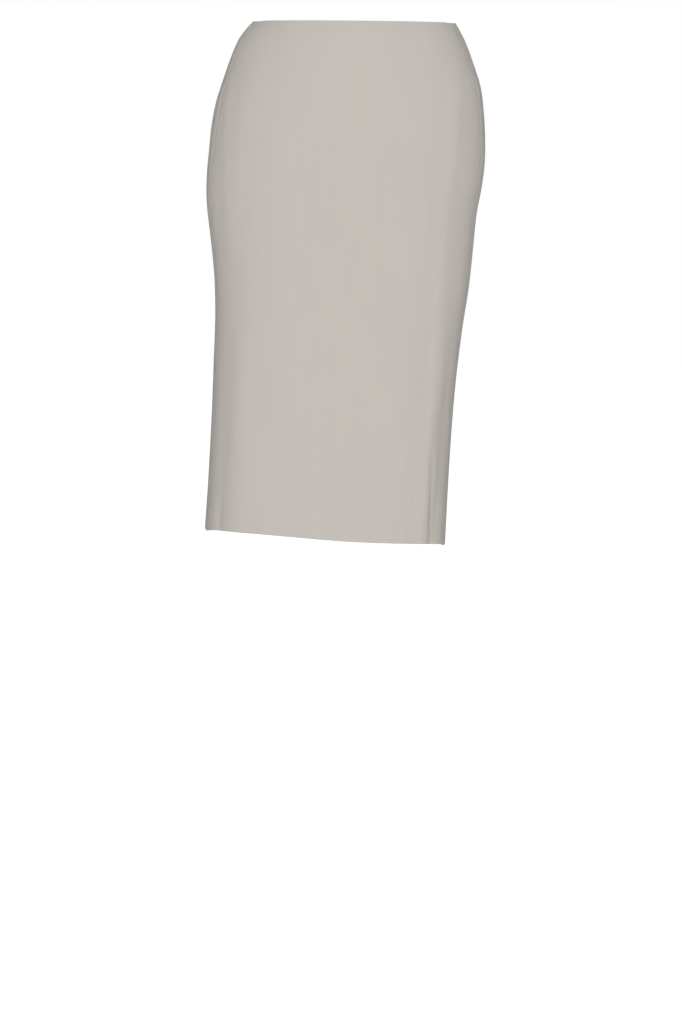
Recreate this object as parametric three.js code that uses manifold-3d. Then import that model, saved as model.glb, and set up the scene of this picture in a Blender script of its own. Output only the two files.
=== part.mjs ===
// A knee-length pencil skirt, hollow, in the shape that it has when it is worn.
// Millimetres, +Z up, the front towards -Y and the garment's left towards +X.
// The origin is the middle of the waist opening, level with its edge at the sides.
//
// The cloth is one skin: a smooth stack of rings from the waist to the hem.
// A point on the skin is named by its arc, the distance along the cloth from the
// front centre line (plus towards the garment's left), and by its drop below the waist.
// The front and the two backs are walls cut from that skin between the seams, and
// what lies behind them is the same skin moved inwards.

import * as THREE from "three";
import { mergeVertices } from "three/addons/utils/BufferGeometryUtils.js";
import Module from "manifold-3d";

const wasm = await Module();
wasm.setup();

// The garment
const LENGTH = 622; // waist edge to hem, down the middle
const CLOTH = 1.5; // thickness of the cloth
const GAP = 0.3; // clearance between neighbouring pieces
const HEM_DEPTH = 38; // turned up inside, so the cloth is double there
const HEM_STEP = 1; // the height over which the turned-up cloth thins out at its top
const HEM_SAG = 2.4; // how much lower the hem hangs near its middle
const HEM_SAG_AT = 30; // its middle, from the front centre line
const HEM_SAG_WIDTH = 75;
const DART_LENGTH = 128; // one dart in each back
const DART_AT_WAIST = 84; // its distance from the back centre line
const DART_LEAN = 0.094; // how much further away it gets for each millimetre of drop
const DART_WIDTH = 3.4;
const DART_DEPTH = 0.9;
const DART_FADE = 45;

// The back vent: the garment's left back laps over an underlap grown on the right back
const VENT_HEIGHT = 180;
const VENT_STEP = 4; // the height over which the right back steps in to its underlap
const VENT_SPREAD = 9; // how far the lap's edge swings open towards the hem
const LAP_FACING = 40; // turned in along the lap's edge, so the cloth is double there
const UNDERLAP_WIDTH = 44;
const UNDERLAP_DIP = 9; // the width over which the right back steps in beside the lap

// The concealed zip in the back centre seam
const TAPE_TOP = 3;
const TAPE_END = 205;
const TAPE_WIDTH = 12;
const TAPE_THICKNESS = 0.8;
const SLIDER_DROP = 13;
const SLIDER_WIDTH = 8;
const SLIDER_HEIGHT = 11;
const SLIDER_THICKNESS = 3;
const LUG_THICKNESS = 1; // the slider's lug stands out through the seam
const LUG_HEIGHT = 5;
const EYE_STAND_OFF = 2.4; // from the cloth to the middle of the lug's eye
const EYE_RADIUS = 1.9;
const PIN_RADIUS = 0.55;
const PULL_LENGTH = 25;
const PULL_WIDTH = 6.6;
const PULL_TOP_WIDTH = 5;
const PULL_THICKNESS = 1.2;
const PULL_REST_GAP = 0.4; // between the resting pull's foot and the cloth

// Mesh steps
const FIRST_ROW = 12;
const WIDEST_ROW = 30;
const ROW_GROWTH = 0.1; // how much longer a row is for each millimetre of drop
const FRONT_COLUMNS = 28;
const DART_SIDE_COLUMNS = 8; // in each back, on either side of its dart
const RING_STEPS = 240;
const ROUND_SEGMENTS = 20;
const CURVE_SEGMENTS = 8;

// Outline of the rings, from a centre line that leans with the garment. left, right:
// half widths on the garment's left and right. front, back: depth each way.
const ringSizes = curvesOverDrop(["drop", "left", "right", "front", "back"], [
  [0, 122, 122, 92, 90],
  [10, 127.8, 131, 95, 93],
  [24, 135.3, 140.4, 98.5, 96.5],
  [47, 144.6, 149.4, 103, 102],
  [75, 155, 157.7, 107.5, 109],
  [100, 160, 164, 110.5, 116],
  [130, 164.2, 167.3, 112.5, 123.5],
  [160, 166.6, 168, 113, 129],
  [190, 165.6, 168.2, 112.5, 131.5],
  [225, 161.5, 166, 111.5, 131],
  [268, 159, 159.5, 111, 127.5],
  [315, 155.8, 153, 111.5, 123],
  [362, 150.7, 149.4, 113, 119],
  [425, 146.6, 148, 115, 115],
  [490, 145, 146.6, 117, 113],
  [560, 145.2, 146, 118, 112.5],
  [LENGTH, 146, 146.4, 119, 113],
]);

// Lie of the rings. shift: how far the centre line has moved towards the garment's left.
// roll: rise towards the garment's right. pitch: rise towards the back.
const ringLies = curvesOverDrop(["drop", "shift", "roll", "pitch"], [
  [0, 0, 0.01, 0.056],
  [50, -1.5, 0.012, 0.05],
  [100, -4, 0.02, 0.035],
  [160, -8.5, 0.034, 0.02],
  [225, -13.5, 0.05, 0.006],
  [315, -17.5, 0.059, -0.006],
  [425, -23.5, 0.061, -0.017],
  [LENGTH, -36, 0.061, -0.024],
]);

// How square the rings turn at the garment's left front, right front and back, where 2
// is an ellipse, and the side seams' share of the way from front centre to back centre.
const ringTurns = curvesOverDrop(["drop", "leftTurn", "rightTurn", "rearTurn", "seam"], [
  [0, 2.25, 2.2, 2.1, 0.43],
  [75, 2.35, 2.25, 2.2, 0.413],
  [160, 2.4, 2.3, 2.35, 0.402],
  [268, 2.6, 2.4, 2.35, 0.418],
  [362, 2.9, 2.5, 2.4, 0.435],
  [490, 3.25, 2.65, 2.45, 0.452],
  [LENGTH, 3.4, 2.7, 2.45, 0.46],
]);

// Folds and creases. line: the centre line that top and foot are measured from, plus
// towards the garment's left. top, foot: where the fold is at the waist and at the hem.
// from, to, fade: the drops between which it shows, and how softly it comes and goes.
// width: of half the fold. height: out of the skin.
const FRONT = "front";
const BACK = "back";
const PAST_HEM = LENGTH + 60; // a fold that runs off the hem has no lower end
const folds = namedRows(["line", "top", "foot", "from", "to", "fade", "width", "height"], {
  leftFrontEdge: [FRONT, 137, 129, 300, PAST_HEM, 160, 15, 3.2],
  leftHemCrease: [FRONT, 145, 140, 540, PAST_HEM, 55, 5, -3],
  rightFrontTurn: [FRONT, -130, -116, 270, PAST_HEM, 170, 34, 2.4],
  rightHemCrease: [FRONT, -145, -140, 578, PAST_HEM, 26, 5, -2.2],
  leftBackDrape: [BACK, 40, 92, 250, PAST_HEM, 190, 34, -4],
  rightBackDrape: [BACK, -52, -84, 290, PAST_HEM, 170, 30, -3.4],
  leftSideDrape: [BACK, 160, 178, 330, PAST_HEM, 150, 26, 2.6],
  rightSideDrape: [BACK, -165, -172, 350, PAST_HEM, 150, 24, 2.2],
});

/** The rows of a table as objects with the named columns. */
function namedRows(names, table) {
  return Object.values(table).map((row) => Object.fromEntries(names.map((name, k) => [name, row[k]])));
}

/** Smooth curves over the drop, one for each named column, through a table's rows. */
function curvesOverDrop(names, rows) {
  const last = rows.length - 1;
  const slope = (k, column) => {
    const before = rows[Math.max(k - 1, 0)];
    const after = rows[Math.min(k + 1, last)];
    return (after[column] - before[column]) / (after[0] - before[0]);
  };
  return (drop) => {
    let i = 0;
    while (i < last - 1 && drop > rows[i + 1][0]) i += 1;
    const span = rows[i + 1][0] - rows[i][0];
    const t = (drop - rows[i][0]) / span;
    const values = names.map((name, column) => {
      const change = (rows[i + 1][column] - rows[i][column]) * t * t * (3 - 2 * t);
      const leave = t * (1 - t) * (1 - t) * slope(i, column) * span;
      const arrive = t * t * (1 - t) * slope(i + 1, column) * span;
      return [name, rows[i][column] + change + leave - arrive];
    });
    return Object.fromEntries(values);
  };
}

/** A ring at a drop: its sizes, its outline and the lengths of cloth along each half. */
const measuredRings = new Map();
function ringAt(drop) {
  if (measuredRings.has(drop)) return measuredRings.get(drop);
  const size = { ...ringSizes(drop), ...ringLies(drop), ...ringTurns(drop) };
  const pointAt = (turn) => {
    const across = Math.sin(turn);
    const ahead = Math.cos(turn);
    const half = turn < 0 ? size.right : size.left;
    const depth = ahead < 0 ? size.back : size.front;
    const frontTurn = turn < 0 ? size.rightTurn : size.leftTurn;
    const power = ahead < 0 ? size.rearTurn : frontTurn;
    const spread = Math.abs(across / half) ** power + Math.abs(ahead / depth) ** power;
    const reach = spread ** (-1 / power);
    return [reach * across, -reach * ahead];
  };
  const lengths = {};
  for (const side of [-1, 1]) {
    lengths[side] = [0];
    let before = pointAt(0);
    for (let k = 1; k <= RING_STEPS; k += 1) {
      const point = pointAt((side * Math.PI * k) / RING_STEPS);
      const step = Math.hypot(point[0] - before[0], point[1] - before[1]);
      lengths[side].push(lengths[side][k - 1] + step);
      before = point;
    }
  }
  measuredRings.set(drop, { size, pointAt, lengths });
  return measuredRings.get(drop);
}

/** The arc of the back centre line, reached round the garment's left (1) or right (-1). */
function backCentre(side, drop) {
  return side * ringAt(drop).lengths[side][RING_STEPS];
}

/** The arc of a side seam. */
function sideSeam(side, drop) {
  return backCentre(side, drop) * ringAt(drop).size.seam;
}

/** The same arc counted round the near side, where it has run past the back centre. */
function nearArc(arc, drop) {
  const round = backCentre(1, drop) - backCentre(-1, drop);
  if (arc > backCentre(1, drop)) return arc - round;
  if (arc < backCentre(-1, drop)) return arc + round;
  return arc;
}

/** A point of the smooth skin, before its folds. */
function smoothSkin(anyArc, drop) {
  const arc = nearArc(anyArc, drop);
  const { size, pointAt, lengths } = ringAt(drop);
  const side = arc < 0 ? -1 : 1;
  const along = lengths[side];
  let low = 0;
  let high = RING_STEPS;
  while (high - low > 1) {
    const middle = (low + high) >> 1;
    if (along[middle] <= Math.abs(arc)) low = middle;
    else high = middle;
  }
  const part = (Math.abs(arc) - along[low]) / (along[high] - along[low]);
  const [x, y] = pointAt((side * Math.PI * (low + part)) / RING_STEPS);
  const nearSag = Math.exp(-(((arc - HEM_SAG_AT) / HEM_SAG_WIDTH) ** 2));
  const sag = HEM_SAG * nearSag * smoothStep(LENGTH / 2, LENGTH, drop);
  return new THREE.Vector3(size.shift + x, y, -drop - sag - size.roll * x + size.pitch * y);
}

/** The skin's outward direction. */
function outward(arc, drop) {
  const reach = 2;
  const across = smoothSkin(arc + reach, drop).sub(smoothSkin(arc - reach, drop));
  const down = smoothSkin(arc, drop + 1).sub(smoothSkin(arc, drop - 1));
  return down.cross(across).normalize();
}

function smoothStep(from, to, value) {
  return THREE.MathUtils.smoothstep(value, from, to);
}

/** The arc of the dart in the back on one side, and of its line on down to the hem. */
function dartLine(side, drop) {
  return backCentre(side, drop) - side * (DART_AT_WAIST + DART_LEAN * drop);
}

/** How far the folds and darts lift the skin at a point. */
function foldHeight(anyArc, drop) {
  const arc = nearArc(anyArc, drop);
  let lift = 0;
  for (const fold of folds) {
    const offset = THREE.MathUtils.lerp(fold.top, fold.foot, drop / LENGTH);
    const middle = fold.line === FRONT ? offset : backCentre(Math.sign(offset), drop) - offset;
    const comes = smoothStep(fold.from, fold.from + fold.fade, drop);
    const goes = smoothStep(fold.to - fold.fade, fold.to, drop);
    lift += fold.height * comes * (1 - goes) * Math.exp(-(((arc - middle) / fold.width) ** 2));
  }
  const dartStrength = 1 - smoothStep(DART_LENGTH - DART_FADE, DART_LENGTH, drop);
  for (const side of [-1, 1]) {
    const away = (arc - dartLine(side, drop)) / DART_WIDTH;
    lift -= DART_DEPTH * dartStrength * Math.exp(-(away ** 2));
  }
  return lift;
}

/** A point of the cloth: depth is how far it lies inside the outer face. */
function clothPoint(arc, drop, depth) {
  return smoothSkin(arc, drop).addScaledVector(outward(arc, drop), foldHeight(arc, drop) - depth);
}

/**
 * A closed wall of cloth. lines holds, for each column, the arc that it follows as a
 * function of the drop. depth and thickness are functions of the column's number and
 * the drop, and keep says which cells are cloth, by column and drop.
 */
function clothWall({ lines, rows, depth = () => 0, thickness, keep = () => true }) {
  const points = [];
  const numbers = new Map();
  const triangles = [];
  const vertex = (column, row, face) => {
    const key = `${column},${row},${face}`;
    if (!numbers.has(key)) {
      const drop = rows[row];
      const inside = depth(column, drop) + face * thickness(column, drop);
      numbers.set(key, points.length / 3);
      points.push(...clothPoint(lines[column](drop), drop, inside).toArray());
    }
    return numbers.get(key);
  };
  const quad = (a, b, c, d) => triangles.push(a, b, c, a, c, d);
  const isCloth = (column, row) => {
    const inside = column >= 0 && row >= 0 && column < lines.length - 1 && row < rows.length - 1;
    return inside && keep(column, rows[row]);
  };
  for (let row = 0; row < rows.length - 1; row += 1) {
    for (let column = 0; column < lines.length - 1; column += 1) {
      if (!isCloth(column, row)) continue;
      const corners = [[column, row], [column, row + 1], [column + 1, row + 1], [column + 1, row]];
      const neighbours = [[column - 1, row], [column, row + 1], [column + 1, row], [column, row - 1]];
      quad(...corners.map((corner) => vertex(...corner, 0)));
      quad(...corners.map((corner) => vertex(...corner, 1)).reverse());
      neighbours.forEach((neighbour, k) => {
        if (isCloth(...neighbour)) return;
        const from = corners[k];
        const to = corners[(k + 1) % corners.length];
        quad(vertex(...from, 0), vertex(...from, 1), vertex(...to, 1), vertex(...to, 0));
      });
    }
  }
  const geometry = new THREE.BufferGeometry();
  geometry.setAttribute("position", new THREE.Float32BufferAttribute(points, 3));
  geometry.setIndex(triangles);
  return geometry;
}

/** Drops from the first to the last stop, with a row at each, closest at the waist. */
function rowsThrough(stops) {
  const rows = [stops[0]];
  for (const stop of stops.slice(1)) {
    const start = rows[rows.length - 1];
    const step = Math.min(WIDEST_ROW, FIRST_ROW + start * ROW_GROWTH);
    const count = Math.ceil((stop - start) / step);
    for (let k = 1; k < count; k += 1) rows.push(start + ((stop - start) * k) / count);
    rows.push(stop);
  }
  return rows;
}

/** Even lines from one line to another, both included. */
function linesBetween(from, to, count) {
  return Array.from({ length: count + 1 }, (_, k) => (drop) => {
    return THREE.MathUtils.lerp(from(drop), to(drop), k / count);
  });
}

const VENT_TOP = LENGTH - VENT_HEIGHT;
const HEM_TOP = LENGTH - HEM_DEPTH;
const panelRows = rowsThrough([
  0, 24, 60, DART_LENGTH, TAPE_END, VENT_TOP - VENT_STEP, VENT_TOP, HEM_TOP, HEM_TOP + HEM_STEP, LENGTH,
]);

function hemThickness(drop) {
  return drop > HEM_TOP ? 2 * CLOTH : CLOTH;
}

function frontGeometry() {
  const lines = linesBetween(
    (drop) => sideSeam(-1, drop) + GAP / 2,
    (drop) => sideSeam(1, drop) - GAP / 2,
    FRONT_COLUMNS,
  );
  return clothWall({ lines, rows: panelRows, thickness: (_, drop) => hemThickness(drop) });
}

/** The lines of a back, from its side seam past its dart to another line. */
function backLines(side, endLine) {
  const seamLine = (drop) => sideSeam(side, drop) + (side * GAP) / 2;
  const beside = (offset) => (drop) => dartLine(side, drop) + side * offset;
  return [
    ...linesBetween(seamLine, beside(-DART_WIDTH), DART_SIDE_COLUMNS),
    beside(0),
    ...linesBetween(beside(DART_WIDTH), endLine, DART_SIDE_COLUMNS),
  ];
}

/** The garment's left back, whose free edge below the vent's top is the lap. */
function leftBackGeometry() {
  const edge = (drop) => {
    return backCentre(1, drop) - GAP / 2 - VENT_SPREAD * smoothStep(VENT_TOP, PAST_HEM, drop);
  };
  const fromEdge = (away) => (drop) => edge(drop) - away;
  const outer = backLines(1, fromEdge(LAP_FACING));
  const facing = [LAP_FACING - HEM_STEP, 30, 20, 10, 0].map(fromEdge);
  const thickness = (column, drop) => {
    const inLap = column >= outer.length && drop >= VENT_TOP;
    return inLap ? 2 * CLOTH : hemThickness(drop);
  };
  return clothWall({ lines: [...outer, ...facing], rows: panelRows, thickness });
}

/** The garment's right back, which runs on past the centre line as the vent's underlap. */
function rightBackGeometry() {
  const pastCentre = (past) => (drop) => backCentre(-1, drop) - past;
  const lap = [1, 0.75, 0.5, 0.25].map((share) => share * UNDERLAP_WIDTH);
  const inner = [...lap, -GAP / 2, -UNDERLAP_DIP / 2];
  const lines = [...inner.map(pastCentre), ...backLines(-1, pastCentre(-UNDERLAP_DIP)).reverse()];
  const depth = (column, drop) => {
    if (drop < VENT_TOP || column >= inner.length) return 0;
    return (2 * CLOTH + GAP) * smoothStep(-UNDERLAP_DIP, -GAP, inner[column]);
  };
  return clothWall({
    lines,
    rows: panelRows,
    depth,
    thickness: (_, drop) => hemThickness(drop),
    keep: (column, drop) => column >= lap.length || drop >= VENT_TOP,
  });
}

/** One tape of the zip, flat against the inside of its back. */
function zipTapeGeometry(side) {
  const slit = LUG_THICKNESS / 2 + GAP;
  const lines = [slit + TAPE_WIDTH, slit + TAPE_WIDTH / 2, slit].map((away) => {
    return (drop) => backCentre(side, drop) - side * away;
  });
  if (side < 0) lines.reverse();
  return clothWall({
    lines,
    rows: [TAPE_TOP, ...panelRows.filter((drop) => drop > TAPE_TOP && drop <= TAPE_END)],
    depth: () => CLOTH + GAP,
    thickness: () => TAPE_THICKNESS,
  });
}

/** A geometry as a solid for joining and cutting. */
function solidOf(geometry) {
  const bare = geometry.clone();
  bare.deleteAttribute("normal");
  bare.deleteAttribute("uv");
  const merged = mergeVertices(bare);
  return new wasm.Manifold(new wasm.Mesh({
    numProp: 3,
    vertProperties: new Float32Array(merged.attributes.position.array),
    triVerts: new Uint32Array(merged.index.array),
  }));
}

/** The geometry of a solid. */
function geometryOf(solid) {
  const mesh = solid.getMesh();
  const geometry = new THREE.BufferGeometry();
  geometry.setAttribute("position", new THREE.Float32BufferAttribute(mesh.vertProperties, 3));
  geometry.setIndex(new THREE.Uint32BufferAttribute(mesh.triVerts, 1));
  return geometry;
}

/** The zip head's axes: x across, y up along the cloth and z outwards, with their
 *  origin on the cloth's outer face at the back centre, behind the lug. */
function zipHeadSpace() {
  const reach = SLIDER_HEIGHT;
  const onSeam = (drop) => clothPoint(backCentre(1, drop), drop, 0);
  const along = onSeam(SLIDER_DROP - reach).sub(onSeam(SLIDER_DROP + reach));
  const lean = Math.atan2(-along.y, along.z);
  const space = new THREE.Group();
  space.position.copy(onSeam(SLIDER_DROP));
  space.rotation.set(Math.PI / 2 + lean, Math.PI, 0);
  space.updateMatrix();
  return space;
}
const zipHead = zipHeadSpace();

const SLIDER_FRONT = -(CLOTH + TAPE_THICKNESS + 2 * GAP); // outward place of the body's front

/** The slider's body, behind the tapes: a shield that narrows to its foot. */
function sliderBody() {
  const half = SLIDER_WIDTH / 2;
  const top = SLIDER_HEIGHT / 2;
  const corner = 1.6;
  const footHalf = half * 0.6;
  const shape = new THREE.Shape();
  shape.moveTo(-half, top - corner);
  shape.quadraticCurveTo(-half, top, -half + corner, top);
  shape.lineTo(half - corner, top);
  shape.quadraticCurveTo(half, top, half, top - corner);
  shape.lineTo(footHalf + corner / 2, -top + corner);
  shape.quadraticCurveTo(footHalf, -top, footHalf - corner, -top);
  shape.lineTo(corner - footHalf, -top);
  shape.quadraticCurveTo(-footHalf, -top, -footHalf - corner / 2, -top + corner);
  shape.closePath();
  const options = { depth: SLIDER_THICKNESS, bevelEnabled: false, curveSegments: CURVE_SEGMENTS };
  return new THREE.ExtrudeGeometry(shape, options).translate(0, 0, SLIDER_FRONT - SLIDER_THICKNESS);
}

/** The slider's lug: an upright plate that stands out through the seam, with an eye. */
function sliderLug() {
  const root = SLIDER_FRONT - SLIDER_THICKNESS / 2;
  const half = LUG_HEIGHT / 2;
  const shoulder = EYE_STAND_OFF / 3;
  const wrap = Math.PI * 0.62;
  const shape = new THREE.Shape();
  shape.moveTo(root, -half);
  shape.lineTo(shoulder, -half);
  shape.absarc(EYE_STAND_OFF, 0, EYE_RADIUS, -wrap, wrap, false);
  shape.lineTo(shoulder, half);
  shape.lineTo(root, half);
  shape.closePath();
  const eye = new THREE.Path();
  eye.absarc(EYE_STAND_OFF, 0, PIN_RADIUS + GAP, 0, 2 * Math.PI, true);
  shape.holes.push(eye);
  const options = { depth: LUG_THICKNESS, bevelEnabled: false, curveSegments: ROUND_SEGMENTS };
  const plate = new THREE.ExtrudeGeometry(shape, options).translate(0, 0, -LUG_THICKNESS / 2);
  return plate.rotateY(-Math.PI / 2);
}

/** The pull: a tab forked round the lug, with a pin through the lug's eye. Its own
 *  axes start at the pin, with y up along the tab. */
function pullGeometry() {
  const slotHalf = LUG_THICKNESS / 2 + GAP;
  const slotFoot = -(EYE_RADIUS + GAP);
  const armTop = PULL_THICKNESS;
  const topHalf = PULL_TOP_WIDTH / 2;
  const corner = 0.8;
  const footHalf = PULL_WIDTH / 2;
  const middle = -PULL_LENGTH / 2;
  const roundFrom = -PULL_LENGTH + footHalf;
  const shape = new THREE.Shape();
  shape.moveTo(-slotHalf, armTop);
  shape.lineTo(-topHalf + corner, armTop);
  shape.quadraticCurveTo(-topHalf, armTop, -topHalf, armTop - corner);
  shape.lineTo(-topHalf, slotFoot);
  shape.bezierCurveTo(-topHalf, middle, -footHalf, middle, -footHalf, roundFrom);
  shape.absarc(0, roundFrom, footHalf, Math.PI, 2 * Math.PI, false);
  shape.bezierCurveTo(footHalf, middle, topHalf, middle, topHalf, slotFoot);
  shape.lineTo(topHalf, armTop - corner);
  shape.quadraticCurveTo(topHalf, armTop, topHalf - corner, armTop);
  shape.lineTo(slotHalf, armTop);
  shape.lineTo(slotHalf, slotFoot);
  shape.lineTo(-slotHalf, slotFoot);
  shape.closePath();
  const options = { depth: PULL_THICKNESS, bevelEnabled: false, curveSegments: CURVE_SEGMENTS };
  const tab = new THREE.ExtrudeGeometry(shape, options).translate(0, 0, -PULL_THICKNESS / 2);
  const pinLength = 2 * slotHalf + (topHalf - slotHalf);
  const pin = new THREE.CylinderGeometry(PIN_RADIUS, PIN_RADIUS, pinLength, ROUND_SEGMENTS);
  return geometryOf(solidOf(tab).add(solidOf(pin.rotateZ(Math.PI / 2))));
}

/** A back with a notch in its centre edge, which keeps it clear of the lug. */
function notchedForLug(geometry) {
  const notch = new THREE.BoxGeometry(LUG_THICKNESS + 2 * GAP, LUG_HEIGHT + 2 * GAP, 6 * CLOTH);
  notch.applyMatrix4(zipHead.matrix);
  return geometryOf(solidOf(geometry).subtract(solidOf(notch)));
}

const clothFinish = { color: 0xc4beb8, roughness: 0.85, metalness: 0 };
const tapeFinish = { color: 0xb3ada7, roughness: 0.9, metalness: 0 };
const metalFinish = { color: 0xb9b6b1, roughness: 0.35, metalness: 0.9 };

function pieceOf(name, geometry, finish) {
  geometry.computeVertexNormals();
  const mesh = new THREE.Mesh(geometry, new THREE.MeshStandardMaterial(finish));
  mesh.name = name;
  return mesh;
}

const sliderSolid = solidOf(sliderBody()).add(solidOf(sliderLug()));
const slider = pieceOf("zip_slider", geometryOf(sliderSolid), metalFinish);
const pull = pieceOf("zip_pull", pullGeometry(), metalFinish);
const pullFootHeight = PULL_REST_GAP + PULL_THICKNESS / 2;
pull.position.set(0, 0, EYE_STAND_OFF);
pull.rotation.x = Math.asin((EYE_STAND_OFF - pullFootHeight) / PULL_LENGTH);
zipHead.add(slider, pull);

const skirt = new THREE.Group();
skirt.add(
  pieceOf("front_panel", frontGeometry(), clothFinish),
  pieceOf("back_left_panel", notchedForLug(leftBackGeometry()), clothFinish),
  pieceOf("back_right_panel", notchedForLug(rightBackGeometry()), clothFinish),
  pieceOf("zip_tape_left", zipTapeGeometry(1), tapeFinish),
  pieceOf("zip_tape_right", zipTapeGeometry(-1), tapeFinish),
  zipHead,
);

export default skirt;
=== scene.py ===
"""The look of a knee-length pencil skirt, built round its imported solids."""
import logging
import math
from collections.abc import Sequence
from dataclasses import dataclass, field
from enum import Enum
from typing import NamedTuple

import bmesh
import bpy
import numpy as np
from mathutils import Matrix, Vector


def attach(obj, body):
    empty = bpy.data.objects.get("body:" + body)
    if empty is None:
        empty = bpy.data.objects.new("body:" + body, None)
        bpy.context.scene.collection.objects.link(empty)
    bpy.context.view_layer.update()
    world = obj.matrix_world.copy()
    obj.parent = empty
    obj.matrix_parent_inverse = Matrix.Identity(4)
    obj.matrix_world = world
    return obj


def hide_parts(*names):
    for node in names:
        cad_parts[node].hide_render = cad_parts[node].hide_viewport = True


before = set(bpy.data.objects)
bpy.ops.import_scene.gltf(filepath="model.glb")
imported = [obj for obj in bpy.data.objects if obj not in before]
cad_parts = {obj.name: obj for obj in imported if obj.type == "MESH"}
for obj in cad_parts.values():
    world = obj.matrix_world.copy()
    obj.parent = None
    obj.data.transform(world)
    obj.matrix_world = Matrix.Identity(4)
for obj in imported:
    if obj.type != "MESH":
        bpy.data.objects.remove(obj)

LOG = logging.getLogger("pencil_skirt")
MM = 0.001  # the shapes are worked out in millimetres, and Blender is in metres
Numbers = float | np.ndarray

# The garment's main sizes, in millimetres, as its solids have them
LENGTH = 622.0
HEM_DEPTH = 38.0
VENT_TOP = 442.0
UNDERLAP_TOP = VENT_TOP - 1.5
ZIP_END = 205.0
SLIDER_DROP = 13.0

RING_SIZES = (  # drop, left, right, front, back
    (0, 122, 122, 92, 90), (10, 127.8, 131, 95, 93), (24, 135.3, 140.4, 98.5, 96.5),
    (47, 144.6, 149.4, 103, 102), (75, 155, 157.7, 107.5, 109), (100, 160, 164, 110.5, 116),
    (130, 164.2, 167.3, 112.5, 123.5), (160, 166.6, 168, 113, 129), (190, 165.6, 168.2, 112.5, 131.5),
    (225, 161.5, 166, 111.5, 131), (268, 159, 159.5, 111, 127.5), (315, 155.8, 153, 111.5, 123),
    (362, 150.7, 149.4, 113, 119), (425, 146.6, 148, 115, 115), (490, 145, 146.6, 117, 113),
    (560, 145.2, 146, 118, 112.5), (LENGTH, 146, 146.4, 119, 113),
)
RING_LIES = (  # drop, shift, roll, pitch
    (0, 0, 0.01, 0.056), (50, -1.5, 0.012, 0.05), (100, -4, 0.02, 0.035), (160, -8.5, 0.034, 0.02),
    (225, -13.5, 0.05, 0.006), (315, -17.5, 0.059, -0.006), (425, -23.5, 0.061, -0.017),
    (LENGTH, -36, 0.061, -0.024),
)
RING_TURNS = (  # drop, left turn, right turn, rear turn, side seam's share of the half round
    (0, 2.25, 2.2, 2.1, 0.43), (75, 2.35, 2.25, 2.2, 0.413), (160, 2.4, 2.3, 2.35, 0.402),
    (268, 2.6, 2.4, 2.35, 0.418), (362, 2.9, 2.5, 2.4, 0.435), (490, 3.25, 2.65, 2.45, 0.452),
    (LENGTH, 3.4, 2.7, 2.45, 0.46),
)


class Line(Enum):
    """The centre line that a fold is measured from."""

    FRONT = "front centre"
    BACK = "back centre"


class Side(Enum):
    """The garment's sides, as the sign of the arc on each."""

    RIGHT = -1
    LEFT = 1


class Place(Enum):
    """The stretch of a panel that a row of its grid lies on."""

    WAIST = "round the waist edge"
    BODY = "down the outside"
    HEM = "round the hem"


class Fold(NamedTuple):
    """A soft fold or crease, in millimetres.

    top and foot are its distances from its line at the waist and at the hem, start and
    end the drops between which it shows, and height is out of the cloth.
    """

    line: Line
    top: float
    foot: float
    start: float
    end: float
    fade: float
    width: float
    height: float


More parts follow.
